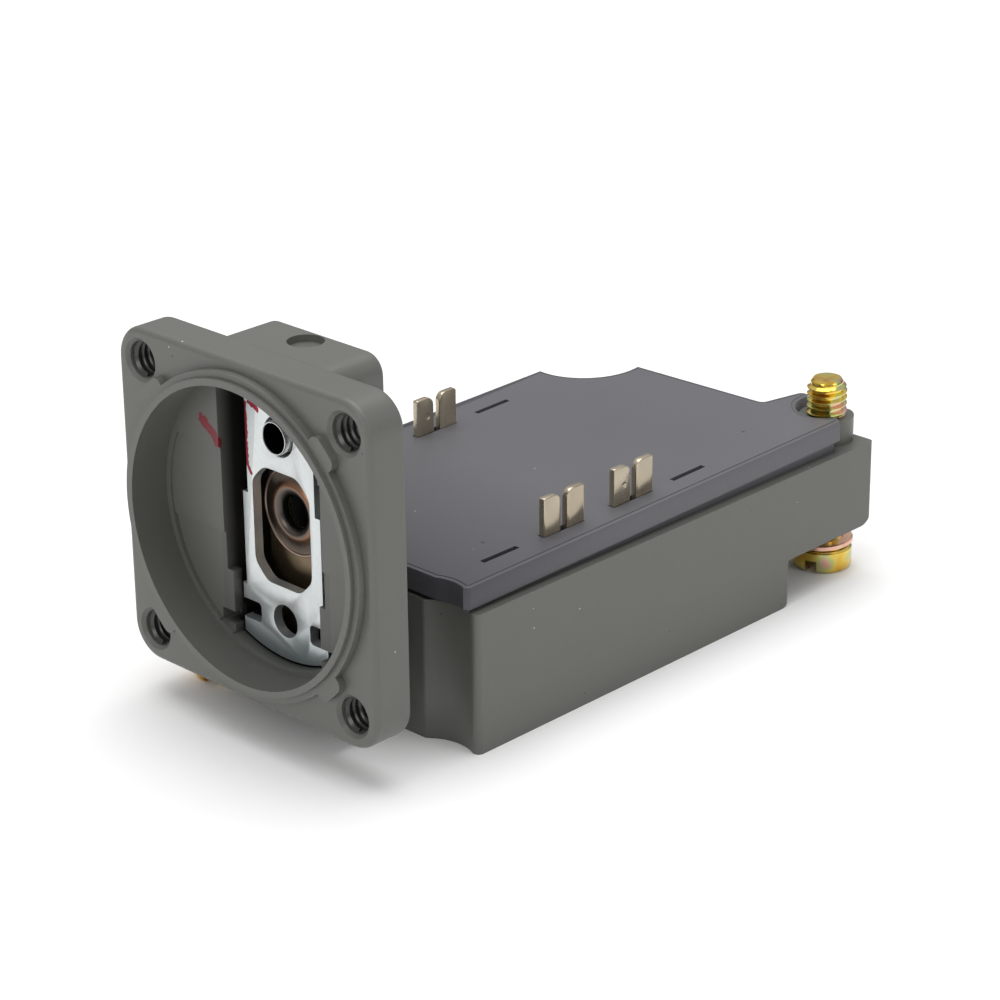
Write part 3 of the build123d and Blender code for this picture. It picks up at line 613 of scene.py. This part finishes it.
# %% Tools: cut, join and place
def carve(work, cutter):
    """Cuts one closed mesh out of another. Frees both and returns the cut mesh."""
    pair = []
    for label, source in (("stock", work), ("cutter", cutter)):
        mesh = bpy.data.meshes.new(label)
        source.to_mesh(mesh)
        source.free()
        thing = bpy.data.objects.new(label, mesh)
        scene.collection.objects.link(thing)
        pair.append(thing)
    cut = pair[0].modifiers.new("cut", "BOOLEAN")
    cut.solver = "EXACT"
    cut.use_self = True
    cut.object = pair[1]
    result = bmesh.new()
    evaluated = pair[0].evaluated_get(bpy.context.evaluated_depsgraph_get())
    result.from_mesh(evaluated.to_mesh())
    evaluated.to_mesh_clear()
    for thing in pair:
        mesh = thing.data
        bpy.data.objects.remove(thing)
        bpy.data.meshes.remove(mesh)
    bmesh.ops.remove_doubles(result, verts=result.verts, dist=0.002)
    bmesh.ops.dissolve_degenerate(result, edges=result.edges, dist=0.0005)
    bmesh.ops.delete(result, geom=[edge for edge in result.edges if edge.is_wire], context="EDGES")
    bmesh.ops.holes_fill(result, edges=[edge for edge in result.edges if edge.is_boundary], sides=0)
    bmesh.ops.recalc_face_normals(result, faces=result.faces)
    return result


def add_to(work, other):
    """Adds a second mesh to the first as another shell, and frees it."""
    mesh = bpy.data.meshes.new("shell")
    other.to_mesh(mesh)
    other.free()
    work.from_mesh(mesh)
    bpy.data.meshes.remove(mesh)


def turn(work, degrees, axis):
    """Turns a mesh about an axis through the origin."""
    bmesh.ops.rotate(
        work, verts=work.verts, cent=(0, 0, 0), matrix=Matrix.Rotation(math.radians(degrees), 3, axis))


def shift(work, offset, verts=None):
    """Moves a mesh, or some of its points, by an offset."""
    bmesh.ops.translate(work, vec=offset, verts=work.verts[:] if verts is None else verts)


def points_in(made):
    """The points that an operator made."""
    return [item for item in made["geom"] if isinstance(item, bmesh.types.BMVert)]


def stock_box(size, centre):
    """A millimetre box of that size around a centre."""
    work = bmesh.new()
    bmesh.ops.create_cube(work, size=1.0)
    bmesh.ops.scale(work, vec=size, verts=work.verts)
    shift(work, centre)
    return work


def copy_of(name, merge):
    """A millimetre copy of a solid part's mesh, with points closer than the merge distance joined."""
    work = bmesh.new()
    work.from_mesh(nodes[name].data)
    bmesh.ops.transform(work, matrix=nodes[name].matrix_world, verts=work.verts)
    bmesh.ops.scale(work, vec=(1 / MM, 1 / MM, 1 / MM), verts=work.verts)
    bmesh.ops.remove_doubles(work, verts=work.verts, dist=merge)
    return work


# %% [markdown]
# ### Captive screws
# A mounting screw is a round slotted head, a thin neck that keeps it captive, and a short 10-32
# thread that a rolling die leaves as one continuous ridge. The ridge is swept as one pitch of its
# profile, so crests and roots run true, then cut flat at both ends and pinched to a lead-in cone.

# %% Screw sizes
pitch = 25.4 / 32
thread_crest = 2.41
thread_root = 1.95
tip_radius = 1.70
tip_cone = 0.95
neck_radius = 1.85
head_radius = 3.6
head_height = 2.8
head_round = 0.55
thread_length = 4.6
slot_width = 1.5
slot_depth = 1.6
slot_turn = 16.0
print("thread pitch", round(pitch, 3), "mm, head", 2 * head_radius, "mm across")


# %% Screws
def captive_screw(low, high):
    """A slotted screw whose head bottom and tip are at those heights, centred on the Z axis."""
    shoulder = low + head_height
    head = lathe([
        (0, low), (head_radius - head_round, low), (head_radius - 0.16, low + 0.17),
        (head_radius, low + head_round), (head_radius, shoulder - 0.25), (head_radius - 0.25, shoulder),
        (neck_radius, shoulder), (neck_radius, high - thread_length - 0.1), (0, high - thread_length - 0.1),
    ])
    slot_tool = stock_box((3 * head_radius, slot_width, 2 * slot_depth), (0, 0, low))
    turn(slot_tool, slot_turn, "Z")
    screw = carve(head, slot_tool)
    thread_low = high - thread_length
    section = [
        (thread_root, 0), (thread_root, 0.10), (thread_crest, 0.34), (thread_crest, 0.44),
        (thread_root, 0.70), (thread_root, pitch),
    ]
    thread = sweep(section, thread_length / pitch + 2, pitch, closed=False)
    shift(thread, (0, 0, thread_low - 1.5 * pitch))
    for height, side in ((thread_low, -1), (high, 1)):
        bmesh.ops.bisect_plane(
            thread, geom=thread.verts[:] + thread.edges[:] + thread.faces[:], plane_co=(0, 0, height),
            plane_no=(0, 0, side), clear_outer=True)
    bmesh.ops.holes_fill(thread, edges=[e for e in thread.edges if e.is_boundary], sides=0)
    for vert in thread.verts:
        reach = math.hypot(vert.co.x, vert.co.y)
        limit = tip_radius + (high - vert.co.z) * (thread_crest - tip_radius) / tip_cone
        if reach > limit:
            vert.co.x *= limit / reach
            vert.co.y *= limit / reach
    bmesh.ops.remove_doubles(thread, verts=thread.verts, dist=0.02)
    bmesh.ops.dissolve_degenerate(thread, edges=thread.edges, dist=0.01)
    bmesh.ops.recalc_face_normals(thread, faces=thread.faces)
    add_to(screw, thread)
    return screw


for name in ("mounting_screw_near", "mounting_screw_far"):
    low, high = extent(name)
    screw = captive_screw(low.z, high.z)
    shift(screw, ((low.x + high.x) / 2, (low.y + high.y) / 2, 0))
    new_piece(name + "_threaded", screw, body_of(name), screw_chromate, (name,))

# %% [markdown]
# ### Split lock washers
# Each is a square wire coiled once, cut through, and left slightly sprung. Free on the neck, it
# leans to one side. Sweeping the section a little less than one turn, with a rise, gives the gap
# and the sprung ends.

# %% Lock washers
washer_inner = 2.42
washer_outer = 3.72
washer_thick = 0.72
washer_round = 0.14
washer_lean = 2.2
washer_turns = 0.955
washer_rise = 0.20
gap_turn = 20
for name in ("lock_washer_near", "lock_washer_far"):
    low, high = extent(name)
    section = [
        (washer_inner + washer_round, 0), (washer_outer - washer_round, 0), (washer_outer, washer_round),
        (washer_outer, washer_thick - washer_round), (washer_outer - washer_round, washer_thick),
        (washer_inner + washer_round, washer_thick), (washer_inner, washer_thick - washer_round),
        (washer_inner, washer_round),
    ]
    ring = sweep(section, washer_turns, washer_rise)
    turn(ring, gap_turn, "Z")
    turn(ring, washer_lean, (-0.7, -0.7, 0))
    bottom = min(vert.co.z for vert in ring.verts)
    top = max(vert.co.z for vert in ring.verts)
    centre = ((low.x + high.x) / 2, (low.y + high.y) / 2, (low.z + high.z - top - bottom) / 2)
    shift(ring, centre)
    print(name, "stands", round(top - bottom, 2), "of", round(high.z - low.z, 2), "mm")
    new_piece(name + "_sprung", ring, body_of(name), washer_chromate, (name,))

# %% [markdown]
# ### Tapped head holes
# The four flange holes are tapped for the operating head. A tap leaves a helical ridge standing
# into the hole, so the ridge alone is swept and seated in the hole's wall.

# %% Threads in the head holes
hole_pattern = next(mount for mount in frame["record"]["mounts"] if mount["name"] == "head_holes")
hole_offset = hole_pattern["dims"]["spacing_x_mm"] / 2
hole_radius = hole_pattern["dims"]["hole_r_mm"]
ridge_height = 0.36
ridge_turns = 4.6
ridge_start = 1.05
ridge_section = [
    (hole_radius + 0.05, -0.34), (hole_radius + 0.05, 0.34), (hole_radius - ridge_height, 0.06),
    (hole_radius - ridge_height, -0.06),
]
ridges = bmesh.new()
for across in (-hole_offset, hole_offset):
    for upward in (-hole_offset, hole_offset):
        ridge = sweep(ridge_section, ridge_turns, pitch)
        turn(ridge, 90, "Y")
        shift(ridge, (ridge_start, across, upward))
        add_to(ridges, ridge)
new_piece("head_hole_threads", ridges, "housing", tapped_metal)

# %% [markdown]
# ### Forked terminals
# A press cuts each blade with a slit, and coins the mouth of the slit round so that it spreads
# over the receptacle's contact. The outline is drawn flat, thickened, and every edge is rolled
# over slightly as blanking leaves it.

# %% Terminals
slit = 1.0
mouth_radius = 1.05
corner_radius = 0.25
edge_roll = 0.13
slit_depth = 7.4
foot_thick = 0.8
foot_height = 4.0
blade_thick = 0.8
blade_row = 15.6
dimple_radius = 0.42
dimple_flatness = 0.35
dimple_drop = 2.3
dimpled_station = 43.7


def arc(centre, radius, start, end, steps=8):
    """Points along an arc, angles in degrees."""
    angles = [math.radians(start + (end - start) * step / steps) for step in range(steps + 1)]
    return [(centre[0] + radius * math.cos(a), centre[1] + radius * math.sin(a)) for a in angles]


for name in [part for part in nodes if part.startswith("terminal_")]:
    low, high = extent(name)
    half = (high.x - low.x) / 2
    station = (low.x + high.x) / 2
    row = math.copysign(blade_row, low.y + high.y)
    outline = [(half, low.z), (half, high.z - corner_radius)]
    outline += arc((half - corner_radius, high.z - corner_radius), corner_radius, 0, 90, 4)
    outline += arc((slit / 2 + mouth_radius, high.z - mouth_radius), mouth_radius, 90, 180)
    outline += [(slit / 2, high.z - slit_depth), (-slit / 2, high.z - slit_depth)]
    outline += arc((-slit / 2 - mouth_radius, high.z - mouth_radius), mouth_radius, 0, 90)
    outline += arc((corner_radius - half, high.z - corner_radius), corner_radius, 90, 180, 4)
    outline += [(-half, low.z)]
    blade = bmesh.new()
    face = blade.faces.new([blade.verts.new((x, -blade_thick / 2, z)) for x, z in outline])
    thickened = bmesh.ops.extrude_face_region(blade, geom=[face])
    shift(blade, (0, blade_thick, 0), points_in(thickened))
    bmesh.ops.recalc_face_normals(blade, faces=blade.faces)
    rims = [edge for edge in blade.edges if abs(edge.verts[0].co.y - edge.verts[1].co.y) < 0.001]
    bmesh.ops.bevel(
        blade, geom=rims, offset=edge_roll, offset_type="OFFSET", affect="EDGES", segments=2, profile=0.5,
        material=-1)
    if round(station, 1) == dimpled_station:
        ball = bmesh.new()
        bmesh.ops.create_uvsphere(ball, u_segments=24, v_segments=12, radius=dimple_radius)
        bmesh.ops.scale(ball, vec=(1, dimple_flatness, 1), verts=ball.verts)
        shift(ball, (-half / 2 - slit / 4 + 0.35, -blade_thick / 2, high.z - dimple_drop))
        blade = carve(blade, ball)
    shift(blade, (station, row, 0))
    inner = min(abs(low.y), abs(high.y))
    foot = stock_box(
        (foot_thick, abs(row) - inner, foot_height),
        (station, math.copysign((abs(row) + inner) / 2, row), low.z + foot_height / 2))
    add_to(blade, foot)
    new_piece(name + "_forked", blade, body_of(name), blade_tin, (name,))

# %% [markdown]
# ### Gasket
# The moulded gasket has a low lip along its edge, set off by a fine groove, and its rim stands
# clear of the casting, so a dark line runs under it that opens towards the far end where the
# rubber has lifted. The lip could be an inset of the solid part's faces, but its outline has
# tight curves that an inset folds over. Walking round the outline and stepping inwards point by
# point keeps every level clean, and the slots are then sunk into the top.


# %% Gasket tools
def outline_of(name, top_low):
    """The longest loop round a solid part's upward faces above a height, thinned out, in order."""
    work = copy_of(name, 0.01)
    up = {face for face in work.faces if face.normal.z > 0.9 and face.calc_center_median().z > top_low}
    beside = {}
    for edge in work.edges:
        if sum(face in up for face in edge.link_faces) == 1:
            for first, second in (edge.verts, reversed(edge.verts)):
                beside.setdefault(first, []).append(second)
    loops = []
    unused = set(beside)
    while unused:
        loop = [unused.pop()]
        step = next((vert for vert in beside[loop[-1]] if vert in unused), None)
        while step is not None:
            unused.remove(step)
            loop.append(step)
            step = next((vert for vert in beside[step] if vert in unused), None)
        loops.append([vert.co.copy() for vert in loop])
    work.free()
    longest = max(loops, key=lambda loop: sum((b - a).length for a, b in zip(loop, loop[1:])))
    kept = []
    for index, point in enumerate(longest):
        before, after = longest[index - 1], longest[(index + 1) % len(longest)]
        if (point - before).xy.length > 0.001 and (point - before).xy.angle((after - point).xy) > 0.002:
            kept.append(point)
    area = sum(a.x * b.y - b.x * a.y for a, b in zip(kept, kept[1:] + kept[:1]))
    return kept if area > 0 else kept[::-1]


def step_in(loop, distance):
    """The (x, y) points of an anticlockwise loop, moved inwards by an even distance."""
    moved = []
    for index, point in enumerate(loop):
        before = (point - loop[index - 1]).xy.normalized()
        after = (loop[(index + 1) % len(loop)] - point).xy.normalized()
        inward = Vector((-before.y, before.x)) + Vector((-after.y, after.x))
        moved.append(point.xy + inward * (distance / (1 + before.dot(after))))
    return moved


def settle(loop, distance):
    """Drops outline points until stepping in by that distance turns no edge round."""
    loop = list(loop)
    while True:
        inner = step_in(loop, distance)
        turned = []
        for index, point in enumerate(loop):
            after = (index + 1) % len(loop)
            side = (loop[after] - point).xy
            if (inner[after] - inner[index]).dot(side) < 0:
                turned.append((side.length, after))
        if not turned:
            return loop
        loop.pop(min(turned)[1])


# %% Gasket sizes and outline
gasket_low, gasket_high = extent("gasket")
gasket_top = -4.7
flat_end = 36.0
rim_gap = 0.5
gap_growth = 1.1
rim_round = 0.3
rim_edge = 0.09
groove_depth = 0.08
groove_start, groove_wall, groove_end = 0.43, 0.48, 0.57
rim_overhang = 0.6
lip_reach = 0.62
edge_loop = settle(outline_of("gasket", gasket_top - 0.2), lip_reach)
print("gasket outline", len(edge_loop), "points, x", round(min(p.x for p in edge_loop), 2), "to",
      round(max(p.x for p in edge_loop), 2))


def top_at(x):
    """Height of the gasket's top, which is flat and then rises gently towards the far end."""
    share = max(0.0, (x - flat_end) / (gasket_high.x - flat_end))
    return gasket_top + (gasket_high.z - gasket_top) * share * share


def clear_at(x):
    """How far the rim stands off the casting."""
    return rim_gap + gap_growth * (top_at(x) - gasket_top)


# %% [markdown]
# From the seat up, each level is the outline stepped in by a distance, with a height that may
# change along the part. Faces join each level to the next, and one face closes the crown.

# %% Gasket levels
levels = [
    (rim_overhang, lambda x: gasket_low.z),
    (rim_overhang, lambda x: gasket_low.z + clear_at(x)),
    (0.0, lambda x: gasket_low.z + clear_at(x)),
    (0.0, lambda x: top_at(x) - rim_round),
    (rim_edge, lambda x: top_at(x) - rim_edge),
    (rim_round, top_at),
    (groove_start, top_at),
    (groove_wall, lambda x: top_at(x) - groove_depth),
    (groove_end, lambda x: top_at(x) - groove_depth),
    (lip_reach, top_at),
]
gasket = bmesh.new()
rings = []
for distance, height_at in levels:
    rings.append([gasket.verts.new((x, y, height_at(x))) for x, y in step_in(edge_loop, distance)])
for lower, upper in zip(rings, rings[1:]):
    for index in range(len(lower)):
        after = (index + 1) % len(lower)
        gasket.faces.new((lower[index], lower[after], upper[after], upper[index]))
gasket.faces.new(rings[0][::-1])
crown_parts = [gasket.faces.new(rings[-1])]
print("gasket levels", len(levels), "with", len(gasket.faces), "faces")

# %% [markdown]
# The slots could be cut with a Boolean, but on this shell it doubled faces or turned them inside
# out. Slicing the crown along the slots' sides, and every few millimetres where it rises, leaves
# patches for each slot, which are extruded down. Each row has a wide slot for each blade, and two
# narrow empty ones beyond. A slot's two numbers are half its length and half its width.

# %% Gasket slots
blade_xs = sorted({
    round((extent(part)[0].x + extent(part)[1].x) / 2, 3) for part in nodes if part.startswith("terminal_")})
slot_beyond = 9.75
slot_deep = 2.2
blade_slot = (3.3, 0.5)
empty_slot = (2.75, 0.35)
slice_from, slice_every = 58, 3
slots = [(x, *blade_slot) for x in blade_xs]
slots += [(x, *empty_slot) for x in (blade_xs[0] - slot_beyond, blade_xs[1] + slot_beyond)]
cuts = [((x + side * half, 0, 0), (1, 0, 0)) for x, half, _ in slots for side in (-1, 1)]
cuts += [
    ((0, row * blade_row + side * half, 0), (0, 1, 0))
    for row in (-1, 1) for side in (-1, 1) for half in (blade_slot[1], empty_slot[1])]
cuts += [((x, 0, 0), (1, 0, 0)) for x in range(slice_from, int(gasket_high.x), slice_every)]
for place, normal in cuts:
    region = {item for face in crown_parts for item in (face, *face.edges, *face.verts)}
    made = bmesh.ops.bisect_plane(gasket, geom=list(region), plane_co=place, plane_no=normal)
    crown_parts = [item for item in made["geom"] if isinstance(item, bmesh.types.BMFace)]
for vert in {vert for face in crown_parts for vert in face.verts}:
    vert.co.z = top_at(vert.co.x)
for x, half_length, half_width in slots:
    for row in (-blade_row, blade_row):
        inside = []
        for face in crown_parts:
            if not face.is_valid:
                continue
            centre = face.calc_center_median()
            if abs(centre.x - x) < half_length and abs(centre.y - row) < half_width:
                inside.append(face)
        sunk = bmesh.ops.extrude_face_region(gasket, geom=inside)
        shift(gasket, (0, 0, -slot_deep), points_in(sunk))
        bmesh.ops.delete(gasket, geom=[face for face in inside if face.is_valid], context="FACES")
bmesh.ops.recalc_face_normals(gasket, faces=gasket.faces)
new_piece(
    "gasket_lipped", gasket, "housing", gasket_rubber, ("gasket",), sharp=30,
    flat_area=4.0)

# %% [markdown]
# ### Plunger end
# A shallow bronze cup with a riveted copper eyelet takes the push of the head. Riveting leaves a
# rolled ring that slopes into the hole. Its colour follows the distance from the axis: heat tint and
# copper in rings, with a painted highlight round the rim and painted shade on the hole's wall.

# %% Ring-tinted bronze with painted highlight and shade
low, high = extent("plunger_washer")
cup_axis = (low + high) / 2
ramp_reach = 6
ring_bronze, ring_tree, ring_shader = finish(
    "ring_tinted_bronze_and_painted_light", (0.1, 0.08, 0.06), (0.4, 0.3, 0.2), 0.30, metallic=0.9, patches=260.0, bump=0.03,
    gloss_change=0.06)
ring_reach = place_group(ring_tree, axis_group, Axis_Point=cup_axis * MM)
ring_share = calculate(ring_tree, "DIVIDE", ring_reach.outputs["Distance"], ramp_reach * MM)
ring_ramp = ring_tree.nodes.new("ShaderNodeValToRGB")
ring_tree.links.new(ring_share, ring_ramp.inputs["Fac"])
ring_tree.links.new(ring_ramp.outputs["Color"], ring_shader.inputs["Base Color"])
# Stops by distance from the axis: painted shade on the hole's wall at 2.0 mm, heat tint and copper across the
# ring, the copper on the ridge at 3.1 mm partly a painted highlight, and a painted highlight round the rim at
# 5.1 mm
ring_tints_and_painted_light = [
    (2.0, (0.05, 0.045, 0.04)), (2.7, (0.13, 0.11, 0.095)), (3.1, (0.28, 0.14, 0.075)),
    (3.5, (0.15, 0.10, 0.07)), (4.2, (0.09, 0.075, 0.06)), (4.7, (0.12, 0.09, 0.07)),
    (5.1, (0.50, 0.36, 0.30)),
]
for index, (reach, tint) in enumerate(ring_tints_and_painted_light):
    if index < 2:
        stop = ring_ramp.color_ramp.elements[index]
        stop.position = reach / ramp_reach
    else:
        stop = ring_ramp.color_ramp.elements.new(reach / ramp_reach)
    stop.color = (*tint, 1)
print("ring tints", len(ring_tints_and_painted_light))

# %% Plunger cup and eyelet
cup = lathe([
    (2.0, 0), (5.0, 0), (5.1, 0.1), (5.1, 0.56), (5.0, 0.68), (4.86, 0.68), (4.76, 0.55), (4.1, 0.52),
    (3.6, 0.66), (3.3, 0.92), (3.1, 1.06), (2.85, 1.12), (2.6, 1.08), (2.3, 0.92), (2.08, 0.72),
    (2.0, 0.55), (2.0, 0),
], 96)
turn(cup, -90, "Y")
shift(cup, (high.x, cup_axis.y, cup_axis.z))
new_piece(
    "plunger_cup", cup, body_of("plunger_washer"), ring_bronze, ("plunger_washer", "plunger_eyelet"),
    sharp=40)

# %% [markdown]
# ### Push bracket
# The pressing behind the cup is slightly domed, as sheet is after drawing. A fine grid is bowed
# in both directions, thickened, and pierced where the plunger passes.

# %% Push bracket
low, high = extent("push_bracket")
dome_centre = Vector((0, 1.2, -6.6))
dome_depth = 0.42
bow_across, bow_down = 6.3, 5.2
front_gap = 0.02
sheet = 0.24
plunger_hole = 2.0
across_steps, down_steps = 28, 64
dome = bmesh.new()
bmesh.ops.create_grid(dome, x_segments=across_steps, y_segments=down_steps, size=0.5)
for vert in dome.verts:
    y = low.y + (high.y - low.y) * (vert.co.x + 0.5)
    z = low.z + (high.z - low.z) * (vert.co.y + 0.5)
    sideways = (y - dome_centre.y) / bow_across
    lengthways = math.sin((z - dome_centre.z) / bow_down)
    bow = 0.5 * sideways ** 2 + 0.5 * lengthways ** 2
    vert.co = (low.x + front_gap + dome_depth * min(1.0, bow), y, z)
backed = bmesh.ops.extrude_face_region(dome, geom=dome.faces[:])
shift(dome, (sheet, 0, 0), points_in(backed))
bmesh.ops.recalc_face_normals(dome, faces=dome.faces)
punch = lathe([(0, -3), (plunger_hole, -3), (plunger_hole, 3), (0, 3)], 48)
turn(punch, 90, "Y")
shift(punch, cup_axis)
dome = carve(dome, punch)
new_piece("push_bracket_domed", dome, body_of("push_bracket"), bronze, ("push_bracket",), sharp=50)

# %% [markdown]
# ### Return spring
# The plunger's return spring is a coil of round wire that shortens as the plunger goes in. It is
# swept like a thread.

# %% Return spring
low, high = extent("return_spring")
wire_radius = 0.4
coils = 7
coil_radius = (high.y - low.y) / 2 - wire_radius
spring_length = high.x - low.x
wire_section = [(coil_radius + x, z) for x, z in arc((0, 0), wire_radius, 0, 360, 12)[:-1]]
spring = sweep(wire_section, coils, (spring_length - 2 * wire_radius) / coils, steps=32)
turn(spring, 90, "Y")
shift(spring, (low.x + wire_radius, 0, (low.z + high.z) / 2))
coil_piece = new_piece(
    "return_spring_coil", spring, "housing", spring_steel, ("return_spring",), sharp=60)
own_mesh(coil_piece)

# %% [markdown]
# ### Retaining plate
# Blanking rolls the front edges of the zinc-plated plate over. The solid part's own front outline
# is bevelled a little, which is enough to catch the light round the window and the holes.

# %% Retaining plate
rolled_edge = 0.13
plate = copy_of("retaining_plate", 0.002)
bmesh.ops.dissolve_limit(
    plate, angle_limit=math.radians(0.1), verts=plate.verts, edges=plate.edges, use_dissolve_boundaries=False)
bmesh.ops.recalc_face_normals(plate, faces=plate.faces)
plate_edges = [
    edge for edge in plate.edges
    if edge.is_manifold and edge.calc_face_angle() > math.radians(60)
    and max(vert.co.x for vert in edge.verts) < plate_front + 0.01]
bmesh.ops.bevel(
    plate, geom=plate_edges, offset=rolled_edge, offset_type="OFFSET", affect="EDGES", segments=2,
    profile=0.5, material=-1, clamp_overlap=True)
new_piece(
    "retaining_plate_rolled", plate, "housing", zinc_plate, ("retaining_plate",), sharp=30,
    flat_area=3.0)

# %% [markdown]
# ### Plate eyelet
# A thin drawn tube pins the plate and stands a little proud of it. Its rim is burnished bright and
# a painted shade darkens its bore, so the colour changes with the distance from its own axis.

# %% Plate eyelet
low, high = extent("plate_eyelet")
eyelet_axis = (low + high) / 2
eyelet_outer = (high.y - low.y) / 2
eyelet_wall = 0.24
rim_slope, rim_drop = 0.09, 0.12
eyelet_bore = eyelet_outer - eyelet_wall
tube = lathe([
    (eyelet_bore, rim_drop), (eyelet_bore + rim_slope, 0), (eyelet_outer - rim_slope, 0),
    (eyelet_outer, rim_drop), (eyelet_outer, high.x - low.x), (eyelet_bore, high.x - low.x),
    (eyelet_bore, rim_drop),
])
turn(tube, 90, "Y")
shift(tube, (low.x, eyelet_axis.y, eyelet_axis.z))
tube_metal, tube_tree, tube_shader = finish(
    "eyelet_steel", (0.45, 0.46, 0.46), (0.85, 0.86, 0.86), 0.22, metallic=0.9, patches=200.0,
    gloss_change=0.06)
tube_reach = place_group(tube_tree, axis_group, Axis_Point=eyelet_axis * MM)
painted_bore_shade = calculate(tube_tree, "LESS_THAN", tube_reach.outputs["Distance"], (eyelet_bore + 0.02) * MM)
# Painted shade: the eyelet's bore drawn nearly black
paint_over(tube_tree, tube_shader, painted_bore_shade, (0.012, 0.012, 0.012))
new_piece("plate_eyelet_tube", tube, "housing", tube_metal, ("plate_eyelet",), sharp=40)
